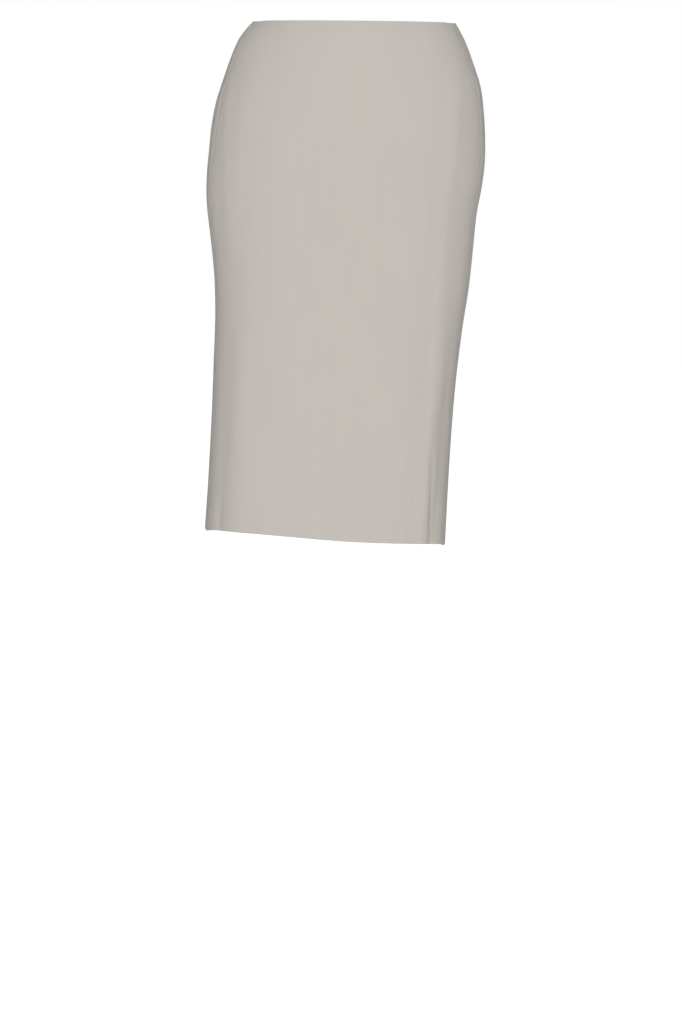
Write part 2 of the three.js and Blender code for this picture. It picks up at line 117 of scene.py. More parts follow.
PAST_HEM = LENGTH + 60
MAIN_FOLDS = (
    Fold(Line.FRONT, 137, 129, 300, PAST_HEM, 160, 15, 3.2),
    Fold(Line.FRONT, 145, 140, 540, PAST_HEM, 55, 7, -1.1),
    Fold(Line.FRONT, -130, -116, 270, PAST_HEM, 170, 34, 2.4),
    Fold(Line.FRONT, -145, -140, 572, PAST_HEM, 34, 7, -2.0),
    Fold(Line.BACK, 40, 92, 250, PAST_HEM, 190, 34, -4),
    Fold(Line.BACK, -52, -84, 290, PAST_HEM, 170, 30, -3.4),
    Fold(Line.BACK, 160, 178, 330, PAST_HEM, 150, 26, 2.6),
    Fold(Line.BACK, -165, -172, 350, PAST_HEM, 150, 24, 2.2),
)
SOFT_CREASES = (
    Fold(Line.FRONT, 134, 117, 20, 470, 150, 11, 1.5),
    Fold(Line.FRONT, 116, 119, 390, PAST_HEM, 100, 10, 2.0),
    Fold(Line.FRONT, 134, 133, 390, PAST_HEM, 110, 13, -1.7),
    Fold(Line.FRONT, 150, 144, 330, PAST_HEM, 120, 11, -1.2),
    Fold(Line.FRONT, -140, -128, 20, 330, 120, 14, 1.1),
    Fold(Line.FRONT, -122, -112, 300, PAST_HEM, 120, 15, 1.3),
    Fold(Line.FRONT, -146, -136, 360, PAST_HEM, 120, 12, -0.9),
    Fold(Line.FRONT, 77.5, 134, 480, PAST_HEM, 60, 4.5, -1.9),
    Fold(Line.FRONT, -178, -100, 30, 330, 80, 9, 0.9),
    Fold(Line.FRONT, 136, 136, 60, 200, 50, 8, 0.5),
    Fold(Line.FRONT, -84, -92, 236, 470, 70, 5, 0.28),
    Fold(Line.FRONT, -100, -104, 330, 600, 80, 6, 0.34),
    Fold(Line.FRONT, -66, -58, 380, 590, 60, 9, -0.22),
    Fold(Line.FRONT, 118, 108, 250, PAST_HEM, 120, 8, -0.5),
    Fold(Line.FRONT, 96, 84, 410, PAST_HEM, 90, 12, 0.3),
    Fold(Line.FRONT, 34, 22, 430, PAST_HEM, 120, 22, -0.5),
    Fold(Line.FRONT, -20, -30, 470, PAST_HEM, 90, 16, 0.35),
    Fold(Line.FRONT, 60, 72, 90, 240, 60, 18, -0.35),
    Fold(Line.FRONT, -70, -88, 70, 215, 55, 16, -0.3),
    Fold(Line.FRONT, -112, -96, 40, 160, 40, 10, -0.3),
    Fold(Line.FRONT, 108, 116, 30, 150, 45, 9, -0.25),
    Fold(Line.BACK, 118, 104, 60, 210, 60, 14, -0.5),
    Fold(Line.BACK, -126, -110, 80, 235, 60, 13, -0.45),
    Fold(Line.BACK, 24, 20, 205, 330, 50, 9, -0.6),
    Fold(Line.BACK, -22, -26, 225, 372, 55, 10, -0.55),
    Fold(Line.BACK, 62, 118, 300, 560, 80, 11, 0.7),
    Fold(Line.BACK, -78, -112, 330, 600, 90, 12, 0.6),
    Fold(Line.BACK, 134, 140, 390, PAST_HEM, 80, 12, -0.6),
    Fold(Line.BACK, -140, -134, 410, PAST_HEM, 90, 11, -0.7),
    Fold(Line.BACK, 108, 60, 470, PAST_HEM, 60, 10, 0.45),
    Fold(Line.BACK, -40, -52, 505, PAST_HEM, 60, 13, 0.5),
)


def smooth_step(start: Numbers, end: Numbers, value: Numbers) -> np.ndarray:
    """A smooth rise from 0 at start to 1 at end, at some places."""
    share = np.clip((np.asarray(value, dtype=float) - start) / (end - start), 0.0, 1.0)
    return share * share * (3 - 2 * share)


def bump_at(value: Numbers, middle: Numbers, width: float) -> np.ndarray:
    """A bell of height 1 round a middle, at some places, by the width of half the bell."""
    return np.exp(-(((np.asarray(value, dtype=float) - middle) / width) ** 2))


class DropCurves:
    """Smooth curves over the drop, one for each column of a short table."""

    def __init__(self, rows: Sequence[Sequence[float]]) -> None:
        """Keeps the table's rows, with the slope of each curve at each row.

        Args:
            rows: The table, with the drop in its first column.
        """
        table = np.array(rows, dtype=float)
        self.knots = table[:, 0]
        self.heights = table[:, 1:]
        before = np.maximum(np.arange(len(table)) - 1, 0)
        after = np.minimum(np.arange(len(table)) + 1, len(table) - 1)
        run = (self.knots[after] - self.knots[before])[:, None]
        self.slopes = (self.heights[after] - self.heights[before]) / run

    def at(self, drop: np.ndarray) -> list[np.ndarray]:
        """The curves at some drops.

        Args:
            drop: The drops, as an array of any shape.

        Returns:
            One array of that shape for each curve.
        """
        k = np.clip(np.searchsorted(self.knots, drop) - 1, 0, len(self.knots) - 2)
        span = self.knots[k + 1] - self.knots[k]
        t = ((drop - self.knots[k]) / span)[..., None]
        low, high = self.heights[k], self.heights[k + 1]
        leave = t * (1 - t) ** 2 * self.slopes[k] * span[..., None]
        arrive = t ** 2 * (1 - t) * self.slopes[k + 1] * span[..., None]
        values = low + (high - low) * t * t * (3 - 2 * t) + leave - arrive
        return [values[..., column] for column in range(values.shape[-1])]


@dataclass
class Skin:
    """The form of the cloth: a smooth stack of rings from the waist to the hem.

    A point is named by its arc, the distance along the cloth from the front centre line,
    plus towards the garment's left, and by its drop below the waist.
    """

    sag: float = 2.4
    sag_at: float = 30
    sag_width: float = 75
    corner_sag: float = 2.8  # of the hem where the front turns to the sides
    corners: tuple[float, float] = (-192, 196)
    corner_width: float = 30
    dart_length: float = 128
    dart_at_waist: float = 84
    dart_lean: float = 0.094
    dart_width: float = 3.4
    dart_depth: float = 0.9
    dart_fade: float = 45
    stitch_width: float = 1.5  # of the crisp line along each dart
    stitch_depth: float = 0.45
    seam_press: float = 0.28  # how deep the side seams are pressed in
    seam_width: float = 2.4
    side_pucker: float = 0.07  # the height of the draw beside the side seams
    side_pucker_width: float = 5
    centre_pucker: float = 0.09
    centre_pucker_width: float = 6
    hem_print: float = 0.12  # how far the hem's raw edge shows through
    hem_print_width: float = 2.5
    steps: int = 480
    above: float = 16
    sizes: DropCurves = field(default_factory=lambda: DropCurves(RING_SIZES))
    lies: DropCurves = field(default_factory=lambda: DropCurves(RING_LIES))
    turns: DropCurves = field(default_factory=lambda: DropCurves(RING_TURNS))

    def __post_init__(self) -> None:
        """Measures a ring at each millimetre of the drop."""
        self.drops = np.arange(-self.above, LENGTH + self.above + 1)
        self.halves: dict[int, np.ndarray] = {}
        self.places: dict[int, np.ndarray] = {}
        shares = np.linspace(0, 1, self.steps + 1)
        for side in (-1, 1):
            turn = side * math.pi * shares[None, :]
            x, y = self.outline(turn, self.drops[:, None])
            run = np.cumsum(np.hypot(np.diff(x, axis=1), np.diff(y, axis=1)), axis=1)
            run = np.pad(run, ((0, 0), (1, 0)))
            self.halves[side] = run[:, -1]
            self.places[side] = np.array([np.interp(shares, row / row[-1], shares) for row in run])

    def outline(self, turn: np.ndarray, drop: np.ndarray) -> tuple[np.ndarray, np.ndarray]:
        """A point of a ring's outline, before its lie.

        Args:
            turn: The angle from the front, plus towards the left.
            drop: The drop of the ring.

        Returns:
            Its places across and towards the back.
        """
        turn, drop = np.broadcast_arrays(turn, drop)
        left, right, front, back = self.sizes.at(drop)
        left_turn, right_turn, rear_turn, _ = self.turns.at(drop)
        across, ahead = np.sin(turn), np.cos(turn)
        half = np.where(turn < 0, right, left)
        depth = np.where(ahead < 0, back, front)
        power = np.where(ahead < 0, rear_turn, np.where(turn < 0, right_turn, left_turn))
        reach = (np.abs(across / half) ** power + np.abs(ahead / depth) ** power) ** (-1 / power)
        return reach * across, -reach * ahead

    def centre(self, side: Side, drop: np.ndarray) -> np.ndarray:
        """The arc of the back centre line, reached round one side."""
        return side.value * np.interp(drop, self.drops, self.halves[side.value])

    def seam(self, side: Side, drop: np.ndarray) -> np.ndarray:
        """The arc of a side seam."""
        return self.centre(side, drop) * self.turns.at(np.asarray(drop, dtype=float))[3]

    def dart(self, side: Side, drop: np.ndarray) -> np.ndarray:
        """The arc of the dart in the back on one side, and of its line down to the hem."""
        away = self.dart_at_waist + self.dart_lean * np.asarray(drop, dtype=float)
        return self.centre(side, drop) - side.value * away

    def near(self, arc: np.ndarray, drop: np.ndarray) -> np.ndarray:
        """The same arc counted round its near side.

        Args:
            arc: Arcs that may run past the back centre.
            drop: Their drops.

        Returns:
            The arcs between the two ends at the back centre.
        """
        left, right = self.centre(Side.LEFT, drop), self.centre(Side.RIGHT, drop)
        arc = np.where(arc > left, arc - (left - right), arc)
        return np.where(arc < right, arc + (left - right), arc)

    def smooth(self, any_arc: np.ndarray, drop: np.ndarray) -> np.ndarray:
        """Points of the smooth skin, before its folds.

        Args:
            any_arc: The arcs of the points.
            drop: Their drops.

        Returns:
            The points, with x, y and z last.
        """
        arc = self.near(any_arc, drop)
        turn = np.zeros_like(arc)
        row = np.clip(drop - self.drops[0], 0, len(self.drops) - 1.001)
        low_row = row.astype(int)
        row_part = row - low_row
        for side in Side:
            share = np.abs(arc) / np.abs(self.centre(side, drop)) * self.steps
            share = np.clip(share, 0, self.steps - 1e-9)
            low = share.astype(int)
            part = share - low
            table = self.places[side.value]
            upper = table[low_row, low] * (1 - part) + table[low_row, low + 1] * part
            lower = table[low_row + 1, low] * (1 - part) + table[low_row + 1, low + 1] * part
            found = side.value * math.pi * (upper * (1 - row_part) + lower * row_part)
            turn = np.where(arc < 0, turn, found) if side is Side.LEFT else np.where(arc < 0, found, turn)
        x, y = self.outline(turn, drop)
        shift, roll, pitch = self.lies.at(drop)
        sag = self.sag * bump_at(arc, self.sag_at, self.sag_width)
        for corner in self.corners:
            sag = sag + self.corner_sag * bump_at(arc, corner, self.corner_width) * (drop / LENGTH) ** 6
        sag = sag * smooth_step(LENGTH / 2, LENGTH, drop)
        return np.stack([shift + x, y, -drop - sag - roll * x + pitch * y], axis=-1)

    def outward(self, arc: np.ndarray, drop: np.ndarray) -> np.ndarray:
        """The skin's outward directions at some points."""
        across = self.smooth(arc + 2, drop) - self.smooth(arc - 2, drop)
        down = self.smooth(arc, drop + 1) - self.smooth(arc, drop - 1)
        normal = np.cross(down, across)
        return normal / np.linalg.norm(normal, axis=-1, keepdims=True)

    def fold_lift(self, arc: np.ndarray, drop: np.ndarray, folds: Sequence[Fold]) -> np.ndarray:
        """How far some folds lift the cloth.

        Args:
            arc: The arcs of the points.
            drop: Their drops.
            folds: The folds.

        Returns:
            The lift at each point.
        """
        lift = np.zeros_like(arc)
        for fold in folds:
            middle = fold.top + (fold.foot - fold.top) * drop / LENGTH
            if fold.line is Line.BACK:
                side = Side.LEFT if fold.top > 0 else Side.RIGHT
                middle = self.centre(side, drop) - middle
            shows = smooth_step(fold.start, fold.start + fold.fade, drop)
            shows = shows * (1 - smooth_step(fold.end - fold.fade, fold.end, drop))
            lift += fold.height * shows * bump_at(arc, middle, fold.width)
        return lift

    def lift(self, any_arc: np.ndarray, drop: np.ndarray) -> np.ndarray:
        """How far folds, creases, darts and the hem's edge lift the cloth.

        Args:
            any_arc: The arcs of the points.
            drop: Their drops.

        Returns:
            The lift at each point.
        """
        arc = self.near(any_arc, drop)
        lift = self.fold_lift(arc, drop, MAIN_FOLDS + SOFT_CREASES)
        shows = 1 - smooth_step(self.dart_length - self.dart_fade, self.dart_length, drop)
        for side in Side:
            away = arc - self.dart(side, drop)
            lift -= self.dart_depth * shows * bump_at(away, 0, self.dart_width)
            lift -= self.stitch_depth * shows * bump_at(away, 0, self.stitch_width)
        lift += self.hem_print * bump_at(drop, LENGTH - HEM_DEPTH, self.hem_print_width)
        return lift + self.pucker(arc, drop)

    def pucker(self, arc: np.ndarray, drop: np.ndarray) -> np.ndarray:
        """The slight uneven draw of the cloth beside its seams."""
        wave = np.sin(drop / 5.3 + 1.7 * np.sin(drop / 31)) * (0.6 + 0.4 * np.sin(drop / 47 + 1))
        lift = np.zeros_like(arc)
        for side in Side:
            from_seam = arc - self.seam(side, drop)
            lift += self.side_pucker * wave * bump_at(from_seam, 0, self.side_pucker_width)
            lift -= self.seam_press * bump_at(from_seam, 0, self.seam_width)
            held = smooth_step(-10, 10, drop) * (1 - smooth_step(VENT_TOP - 30, VENT_TOP, drop))
            from_centre = arc - self.centre(side, drop)
            lift += self.centre_pucker * wave * held * bump_at(from_centre, 0, self.centre_pucker_width)
        return lift

    def point(self, arc: np.ndarray, drop: np.ndarray, depth: np.ndarray | float = 0.0) -> np.ndarray:
        """Points of the cloth, in millimetres.

        Args:
            arc: The arcs of the points.
            drop: Their drops.
            depth: How far inside the outer face they lie.

        Returns:
            The points, with x, y and z last.
        """
        arc, drop = np.broadcast_arrays(np.asarray(arc, dtype=float), np.asarray(drop, dtype=float))
        out = (self.lift(arc, drop) - depth)[..., None]
        return self.smooth(arc, drop) + self.outward(arc, drop) * out

    def axes_at(self, arc: float, drop: float, depth: float) -> Matrix:
        """Axes on the cloth: x along the arc, y up the cloth and z outwards.

        Args:
            arc: The arc of their origin.
            drop: Its drop.
            depth: How far inside the outer face it lies.

        Returns:
            The axes as a matrix, in metres.
        """
        place = np.array([float(arc)]), np.array([float(drop)])
        out = Vector(self.outward(*place)[0])
        up = Vector((self.smooth(place[0], place[1] - 1) - self.smooth(place[0], place[1] + 1))[0])
        across = up.cross(out).normalized()
        up = out.cross(across).normalized()
        turn = Matrix((across, up, out)).transposed().to_4x4()
        return Matrix.Translation(Vector(self.point(*place, depth)[0]) * MM) @ turn


class Socket:
    """A shader value that Python expressions can work on."""

    def __init__(self, graph: "Graph", out: bpy.types.NodeSocket) -> None:
        """Wraps an output socket of a graph."""
        self.graph = graph
        self.out = out

    def maths(self, operation: str, first: "Socket | float", second: "Socket | float" = 0.0) -> "Socket":
        """A Math node on two values, each a number or a Socket."""
        return self.graph.node("ShaderNodeMath", {"operation": operation}, {0: first, 1: second})

    def __add__(self, other: "Socket | float") -> "Socket":
        """This value and another, added."""
        return self.maths("ADD", self, other)

    def __radd__(self, other: float) -> "Socket":
        """A number and this value, added."""
        return self.maths("ADD", other, self)

    def __sub__(self, other: "Socket | float") -> "Socket":
        """Another value taken from this one."""
        return self.maths("SUBTRACT", self, other)

    def __rsub__(self, other: float) -> "Socket":
        """This value taken from a number."""
        return self.maths("SUBTRACT", other, self)

    def __mul__(self, other: "Socket | float") -> "Socket":
        """This value times another."""
        return self.maths("MULTIPLY", self, other)

    def sine(self) -> "Socket":
        """The sine of this value."""
        return self.maths("SINE", self)

    def clamped(self) -> "Socket":
        """This value, held between 0 and 1."""
        return self.graph.node("ShaderNodeClamp", {}, {"Value": self, "Min": 0.0, "Max": 1.0})


class Graph:
    """The node tree of a material, with its surface shader."""

    def __init__(self, name: str, fixed: dict[str, object]) -> None:
        """Starts a material with a Principled shader.

        Args:
            name: The material's name.
            fixed: The shader's values that are the same all over.
        """
        self.material = bpy.data.materials.new(name)
        self.material.use_nodes = True
        self.tree = self.material.node_tree
        self.shader = next(n for n in self.tree.nodes if n.type == "BSDF_PRINCIPLED")
        for key, value in fixed.items():
            self.shader.inputs[key].default_value = value

    def node(self, kind: str, settings: dict[str, object], values: dict[int | str, object],
             output: int | str = 0) -> Socket:
        """Adds a node.

        Args:
            kind: The node's type.
            settings: Its properties, set before its sockets.
            values: A number, colour or Socket for each named or numbered input.
            output: The output that is wanted.

        Returns:
            That output.
        """
        node = self.tree.nodes.new(kind)
        for key, value in settings.items():
            setattr(node, key, value)
        for key, value in values.items():
            if isinstance(value, Socket):
                self.tree.links.new(value.out, node.inputs[key])
            else:
                node.inputs[key].default_value = value
        return Socket(self, node.outputs[output])

    def feed(self, key: str, value: Socket) -> None:
        """Links a value to an input of the shader."""
        self.tree.links.new(value.out, self.shader.inputs[key])

    def object_place(self) -> Socket:
        """The place on the object."""
        return self.node("ShaderNodeTexCoord", {}, {}, "Object")

    def part(self, place: Socket, axis: str) -> Socket:
        """One axis of a place."""
        return self.node("ShaderNodeSeparateXYZ", {}, {"Vector": place}, axis)

    def uv_parts(self) -> tuple[Socket, Socket]:
        """The distances across and along the cloth, in metres, from its own UV map."""
        place = self.node("ShaderNodeUVMap", {"uv_map": "cloth"}, {})
        return self.part(place, "X"), self.part(place, "Y")

    def vector(self, x: Socket | float, y: Socket | float, z: Socket | float = 0.0) -> Socket:
        """Three values as a vector."""
        return self.node("ShaderNodeCombineXYZ", {}, {"X": x, "Y": y, "Z": z})

    def noise(self, place: Socket, scale: float, detail: float = 2.0, rough: float = 0.5) -> Socket:
        """Noise round 0, from about -0.5 to 0.5, by its lumps for each metre."""
        values = {"Vector": place, "Scale": scale, "Detail": detail, "Roughness": rough}
        return self.node("ShaderNodeTexNoise", {}, values) - 0.5

    def grain(self, across: Socket, along: Socket, lumps: tuple[float, float], detail: float,
              rough: float = 0.5) -> Socket:
        """Noise on the cloth's map, by its lumps for each metre across and along."""
        return self.noise(self.vector(across * lumps[0], along * lumps[1]), 1.0, detail, rough)

    def mixed(self, share: Socket, first: Sequence[float] | Socket,
              second: Sequence[float] | Socket) -> Socket:
        """Two colours mixed by the share of the second."""
        return self.node("ShaderNodeMix", {"data_type": "RGBA"}, {0: share, 6: first, 7: second}, 2)

    def attribute(self, name: str) -> Socket:
        """A number that the mesh carries at each vertex."""
        return self.node("ShaderNodeAttribute", {"attribute_name": name}, {}, "Fac")

    def relief(self, height: Socket, distance: float, strength: float) -> None:
        """Feeds a height, in parts of a distance in metres, to the shader's normal."""
        values = {"Height": height, "Distance": distance, "Strength": strength}
        self.feed("Normal", self.node("ShaderNodeBump", {}, values))


def shade(colour: Sequence[float], factor: float) -> tuple[float, float, float, float]:
    """A colour made lighter or darker, with full alpha."""
    return (colour[0] * factor, colour[1] * factor, colour[2] * factor, 1.0)


@dataclass(frozen=True)
class SuitingFinish:
    """Smooth light grey suiting: a fine weave with a faint upright grain."""

    name: str = "suiting"
    colour: tuple[float, float, float] = (0.557, 0.522, 0.484)
    yarn: float = 0.00042  # from one thread to the next, in metres
    spread: float = 0.09  # how far the colour varies each way
    worn: float = 1.06  # how light the cloth is where its edges are rubbed
    fine: tuple[float, float] = (620, 14)  # lumps for each metre, across and along
    broad: tuple[float, float] = (170, 5)
    cloud: tuple[float, float] = (16, 9)
    slub: tuple[float, float] = (90, 1900)
    pick: tuple[float, float] = (6, 190)
    drift: float = 5.0  # how far the threads wander, in radians of the weave
    relief: float = 0.00011  # in metres

    def material(self) -> bpy.types.Material:
        """Makes the material.

        Returns:
            The finished material.
        """
        fixed = {"Diffuse Roughness": 0.42, "Sheen Weight": 0.03, "Sheen Roughness": 0.5,
                 "Specular IOR Level": 0.15}
        graph = Graph(self.name, fixed)
        across, along = graph.uv_parts()
        thread = 2 * math.pi / self.yarn
        fine_grain = graph.grain(across, along, self.fine, 3.0, 0.6)
        broad_grain = graph.grain(across, along, self.broad, 2.0)
        clouds = graph.grain(across, along, self.cloud, 3.0)
        slubs = graph.grain(across, along, self.slub, 1.0)
        picks = graph.grain(across, along, self.pick, 2.0)
        warp = (across * thread + broad_grain * self.drift).sine()
        weft = (along * thread + picks * self.drift).sine()
        weave = warp * weft
        tone = fine_grain * 0.36 + broad_grain * 0.2 + clouds * 0.26 + weave * 0.3 + slubs * 0.16
        share = (tone + 0.5).clamped()
        cloth = graph.mixed(share, shade(self.colour, 1 - self.spread), shade(self.colour, 1 + self.spread))
        rubbed = (graph.attribute("wear") * (0.55 + fine_grain * 0.9)).clamped()
        graph.feed("Base Color", graph.mixed(rubbed, cloth, shade(self.colour, self.worn)))
        graph.feed("Roughness", (fine_grain * 0.12 + weave * 0.04 + 0.84).clamped())
        height = weave * 0.8 + fine_grain * 0.8 + slubs * 0.4 + broad_grain * 0.9
        graph.relief(height, self.relief, 0.8)
        return graph.material


@dataclass(frozen=True)
class TapeFinish:
    """The zip tape's close twill, with a slight sheen."""

    name: str = "zip_tape"
    colour: tuple[float, float, float] = (0.45, 0.418, 0.386)
    rib: float = 0.0006  # from one twill line to the next, in metres

    def material(self) -> bpy.types.Material:
        """Makes the material.

        Returns:
            The finished material.
        """
        graph = Graph(self.name, {"Sheen Weight": 0.1, "Specular IOR Level": 0.35})
        across, along = graph.uv_parts()
        twist = 2 * math.pi / self.rib
        twill = ((across + along) * twist).sine()
        cross = ((across - along) * (twist * 1.9)).sine()
        patch = graph.grain(across, along, (60, 30), 2.0)
        share = (twill * 0.22 + cross * 0.08 + patch * 0.5 + 0.5).clamped()
        graph.feed("Base Color", graph.mixed(share, shade(self.colour, 0.86), shade(self.colour, 1.12)))
        graph.feed("Roughness", (patch * 0.2 + 0.72).clamped())
        graph.relief(twill * 0.6 + cross * 0.2, 0.00008, 0.7)
        return graph.material


@dataclass(frozen=True)
class ThreadFinish:
    """Twisted sewing thread, or the zip's nylon coil, in the cloth's grey."""

    name: str
    colour: tuple[float, float, float]
    rough: float = 0.55
    twist: float = 0.0009  # from one twist to the next, in metres

    def material(self) -> bpy.types.Material:
        """Makes the material.

        Returns:
            The finished material.
        """
        graph = Graph(self.name, {"Specular IOR Level": 0.4, "Sheen Weight": 0.08})
        place = graph.object_place()
        diagonal = graph.part(place, "X") + graph.part(place, "Z")
        twist = (diagonal * (2 * math.pi / self.twist)).sine()
        patch = graph.noise(place, 90, 2.0)
        share = (twist * 0.25 + patch * 0.8 + 0.5).clamped()
        graph.feed("Base Color", graph.mixed(share, shade(self.colour, 0.82), shade(self.colour, 1.15)))
        graph.feed("Roughness", (patch * 0.3 + self.rough).clamped())
        graph.relief(twist, 0.00005, 0.4)
        return graph.material


@dataclass(frozen=True)
class LacquerFinish:
    """Satin lacquer in the cloth's grey on the zip's metal, rubbed brighter in places."""

    name: str = "zip_lacquer"
    colour: tuple[float, float, float] = (0.3, 0.281, 0.262)
    bare: tuple[float, float, float] = (0.5, 0.49, 0.475)

    def material(self) -> bpy.types.Material:
        """Makes the material.

        Returns:
            The finished material.
        """
        graph = Graph(self.name, {"Coat Roughness": 0.25, "Specular IOR Level": 0.5})
        place = graph.object_place()
        rubs = graph.noise(place, 420, 4.0, 0.65)
        patch = graph.noise(place, 130, 2.0)
        bare = ((rubs * 2.2 + patch * 1.5 - 0.62) * 4.0).clamped()
        lacquer = graph.mixed((patch + 0.5).clamped(), shade(self.colour, 0.92), shade(self.colour, 1.06))
        graph.feed("Base Color", graph.mixed(bare, lacquer, shade(self.bare, 1.0)))
        graph.feed("Metallic", bare * 0.85)
        graph.feed("Roughness", (rubs * 0.25 + 0.36).clamped())
        graph.feed("Coat Weight", (0.35 - bare * 0.35).clamped())
        graph.relief(rubs, 0.00003, 0.35)
        return graph.material


@dataclass(frozen=True)
class FloorFinish:
    """The plain pale floor, bright enough to meet the white round it."""

    name: str = "pale_floor"
    colour: tuple[float, float, float] = (0.86, 0.86, 0.86)
    glow: float = 0.8

    def material(self) -> bpy.types.Material:
        """Makes the material.

        Returns:
            The finished material.
        """
        fixed = {"Roughness": 0.9, "Specular IOR Level": 0.1, "Emission Strength": self.glow,
                 "Emission Color": (1.0, 1.0, 1.0, 1.0)}
        graph = Graph(self.name, fixed)
        patch = graph.noise(graph.object_place(), 1.3, 2.0)
        graph.feed("Base Color", graph.mixed((patch + 0.5).clamped(), shade(self.colour, 0.995),
                                             shade(self.colour, 1.005)))
        return graph.material


@dataclass
class Finishes:
    """All of the skirt's materials."""

    cloth: bpy.types.Material = field(default_factory=lambda: SuitingFinish().material())
    tape: bpy.types.Material = field(default_factory=lambda: TapeFinish().material())
    thread: bpy.types.Material = field(
        default_factory=lambda: ThreadFinish("sewing_thread", (0.5, 0.465, 0.43)).material())
    coil: bpy.types.Material = field(
        default_factory=lambda: ThreadFinish("zip_coil", (0.47, 0.44, 0.41), 0.38, 0.0013).material())
    lacquer: bpy.types.Material = field(default_factory=lambda: LacquerFinish().material())


def finish_piece(shape: bmesh.types.BMesh, name: str, material: bpy.types.Material, body: str) -> bpy.types.Object:
    """Makes a piece of the object from a shape.

    Args:
        shape: The shape, in metres, which is used up.
        name: The piece's name.
        material: Its material.
        body: The body that it rides on.

    Returns:
        The piece.
    """
    mesh = bpy.data.meshes.new(name)
    shape.to_mesh(mesh)
    shape.free()
    mesh.materials.append(material)
    piece = bpy.data.objects.new(name, mesh)
    bpy.context.scene.collection.objects.link(piece)
    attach(piece, body)
    LOG.info("%s: %d faces", name, len(mesh.polygons))
    return piece


def lay_map(shape: bmesh.types.BMesh, cloth_map: bmesh.types.BMLayerItem,
            places: dict[bmesh.types.BMVert, tuple[float, float]]) -> None:
    """Smooths a sheet's shading and lays its cloth map.

    Args:
        shape: The sheet.
        cloth_map: Its UV layer.
        places: The place of each vertex across and along the cloth, in metres.
    """
    for face in shape.faces:
        face.smooth = True
        for loop in face.loops:
            loop[cloth_map].uv = places[loop.vert]


def face_back(shape: bmesh.types.BMesh) -> None:
    """Turns a sheet's outer side towards the back."""
    shape.normal_update()
    shape.faces.ensure_lookup_table()
    if shape.faces[0].normal.y < 0:
        bmesh.ops.reverse_faces(shape, faces=list(shape.faces))


def thicken(piece: bpy.types.Object, thickness: float) -> None:
    """Gives a sheet its thickness, in millimetres, towards the inside."""
    shell = piece.modifiers.new("thickness", "SOLIDIFY")
    shell.thickness = thickness * MM
    shell.offset = -1
    shell.use_rim = True


class Row(NamedTuple):
    """A row of a panel's grid: its place, the turn round a fold, and the run past it.

    On the body the run is the drop.
    """

    place: Place
    turn: float
    run: float


class Across(NamedTuple):
    """A panel's columns at some drops, as arrays of rows by columns in millimetres.

    inset is how deep a column is tucked inside its own fold, base how deep the whole
    sheet lies there, bulk the share of the extra fold room it needs, and turned the share
    of the waist's turning that it has, and edge its distance from the nearest side edge.
    """

    arcs: np.ndarray
    inset: np.ndarray
    base: np.ndarray
    bulk: np.ndarray
    turned: np.ndarray
    edge: np.ndarray


class Grid(NamedTuple):
    """A built panel's grid, as arrays of rows by columns, in millimetres."""

    rows: list[Row]
    arcs: np.ndarray
    drops: np.ndarray
    depths: np.ndarray
    inset: np.ndarray
    base: np.ndarray
    points: np.ndarray
    outward: np.ndarray


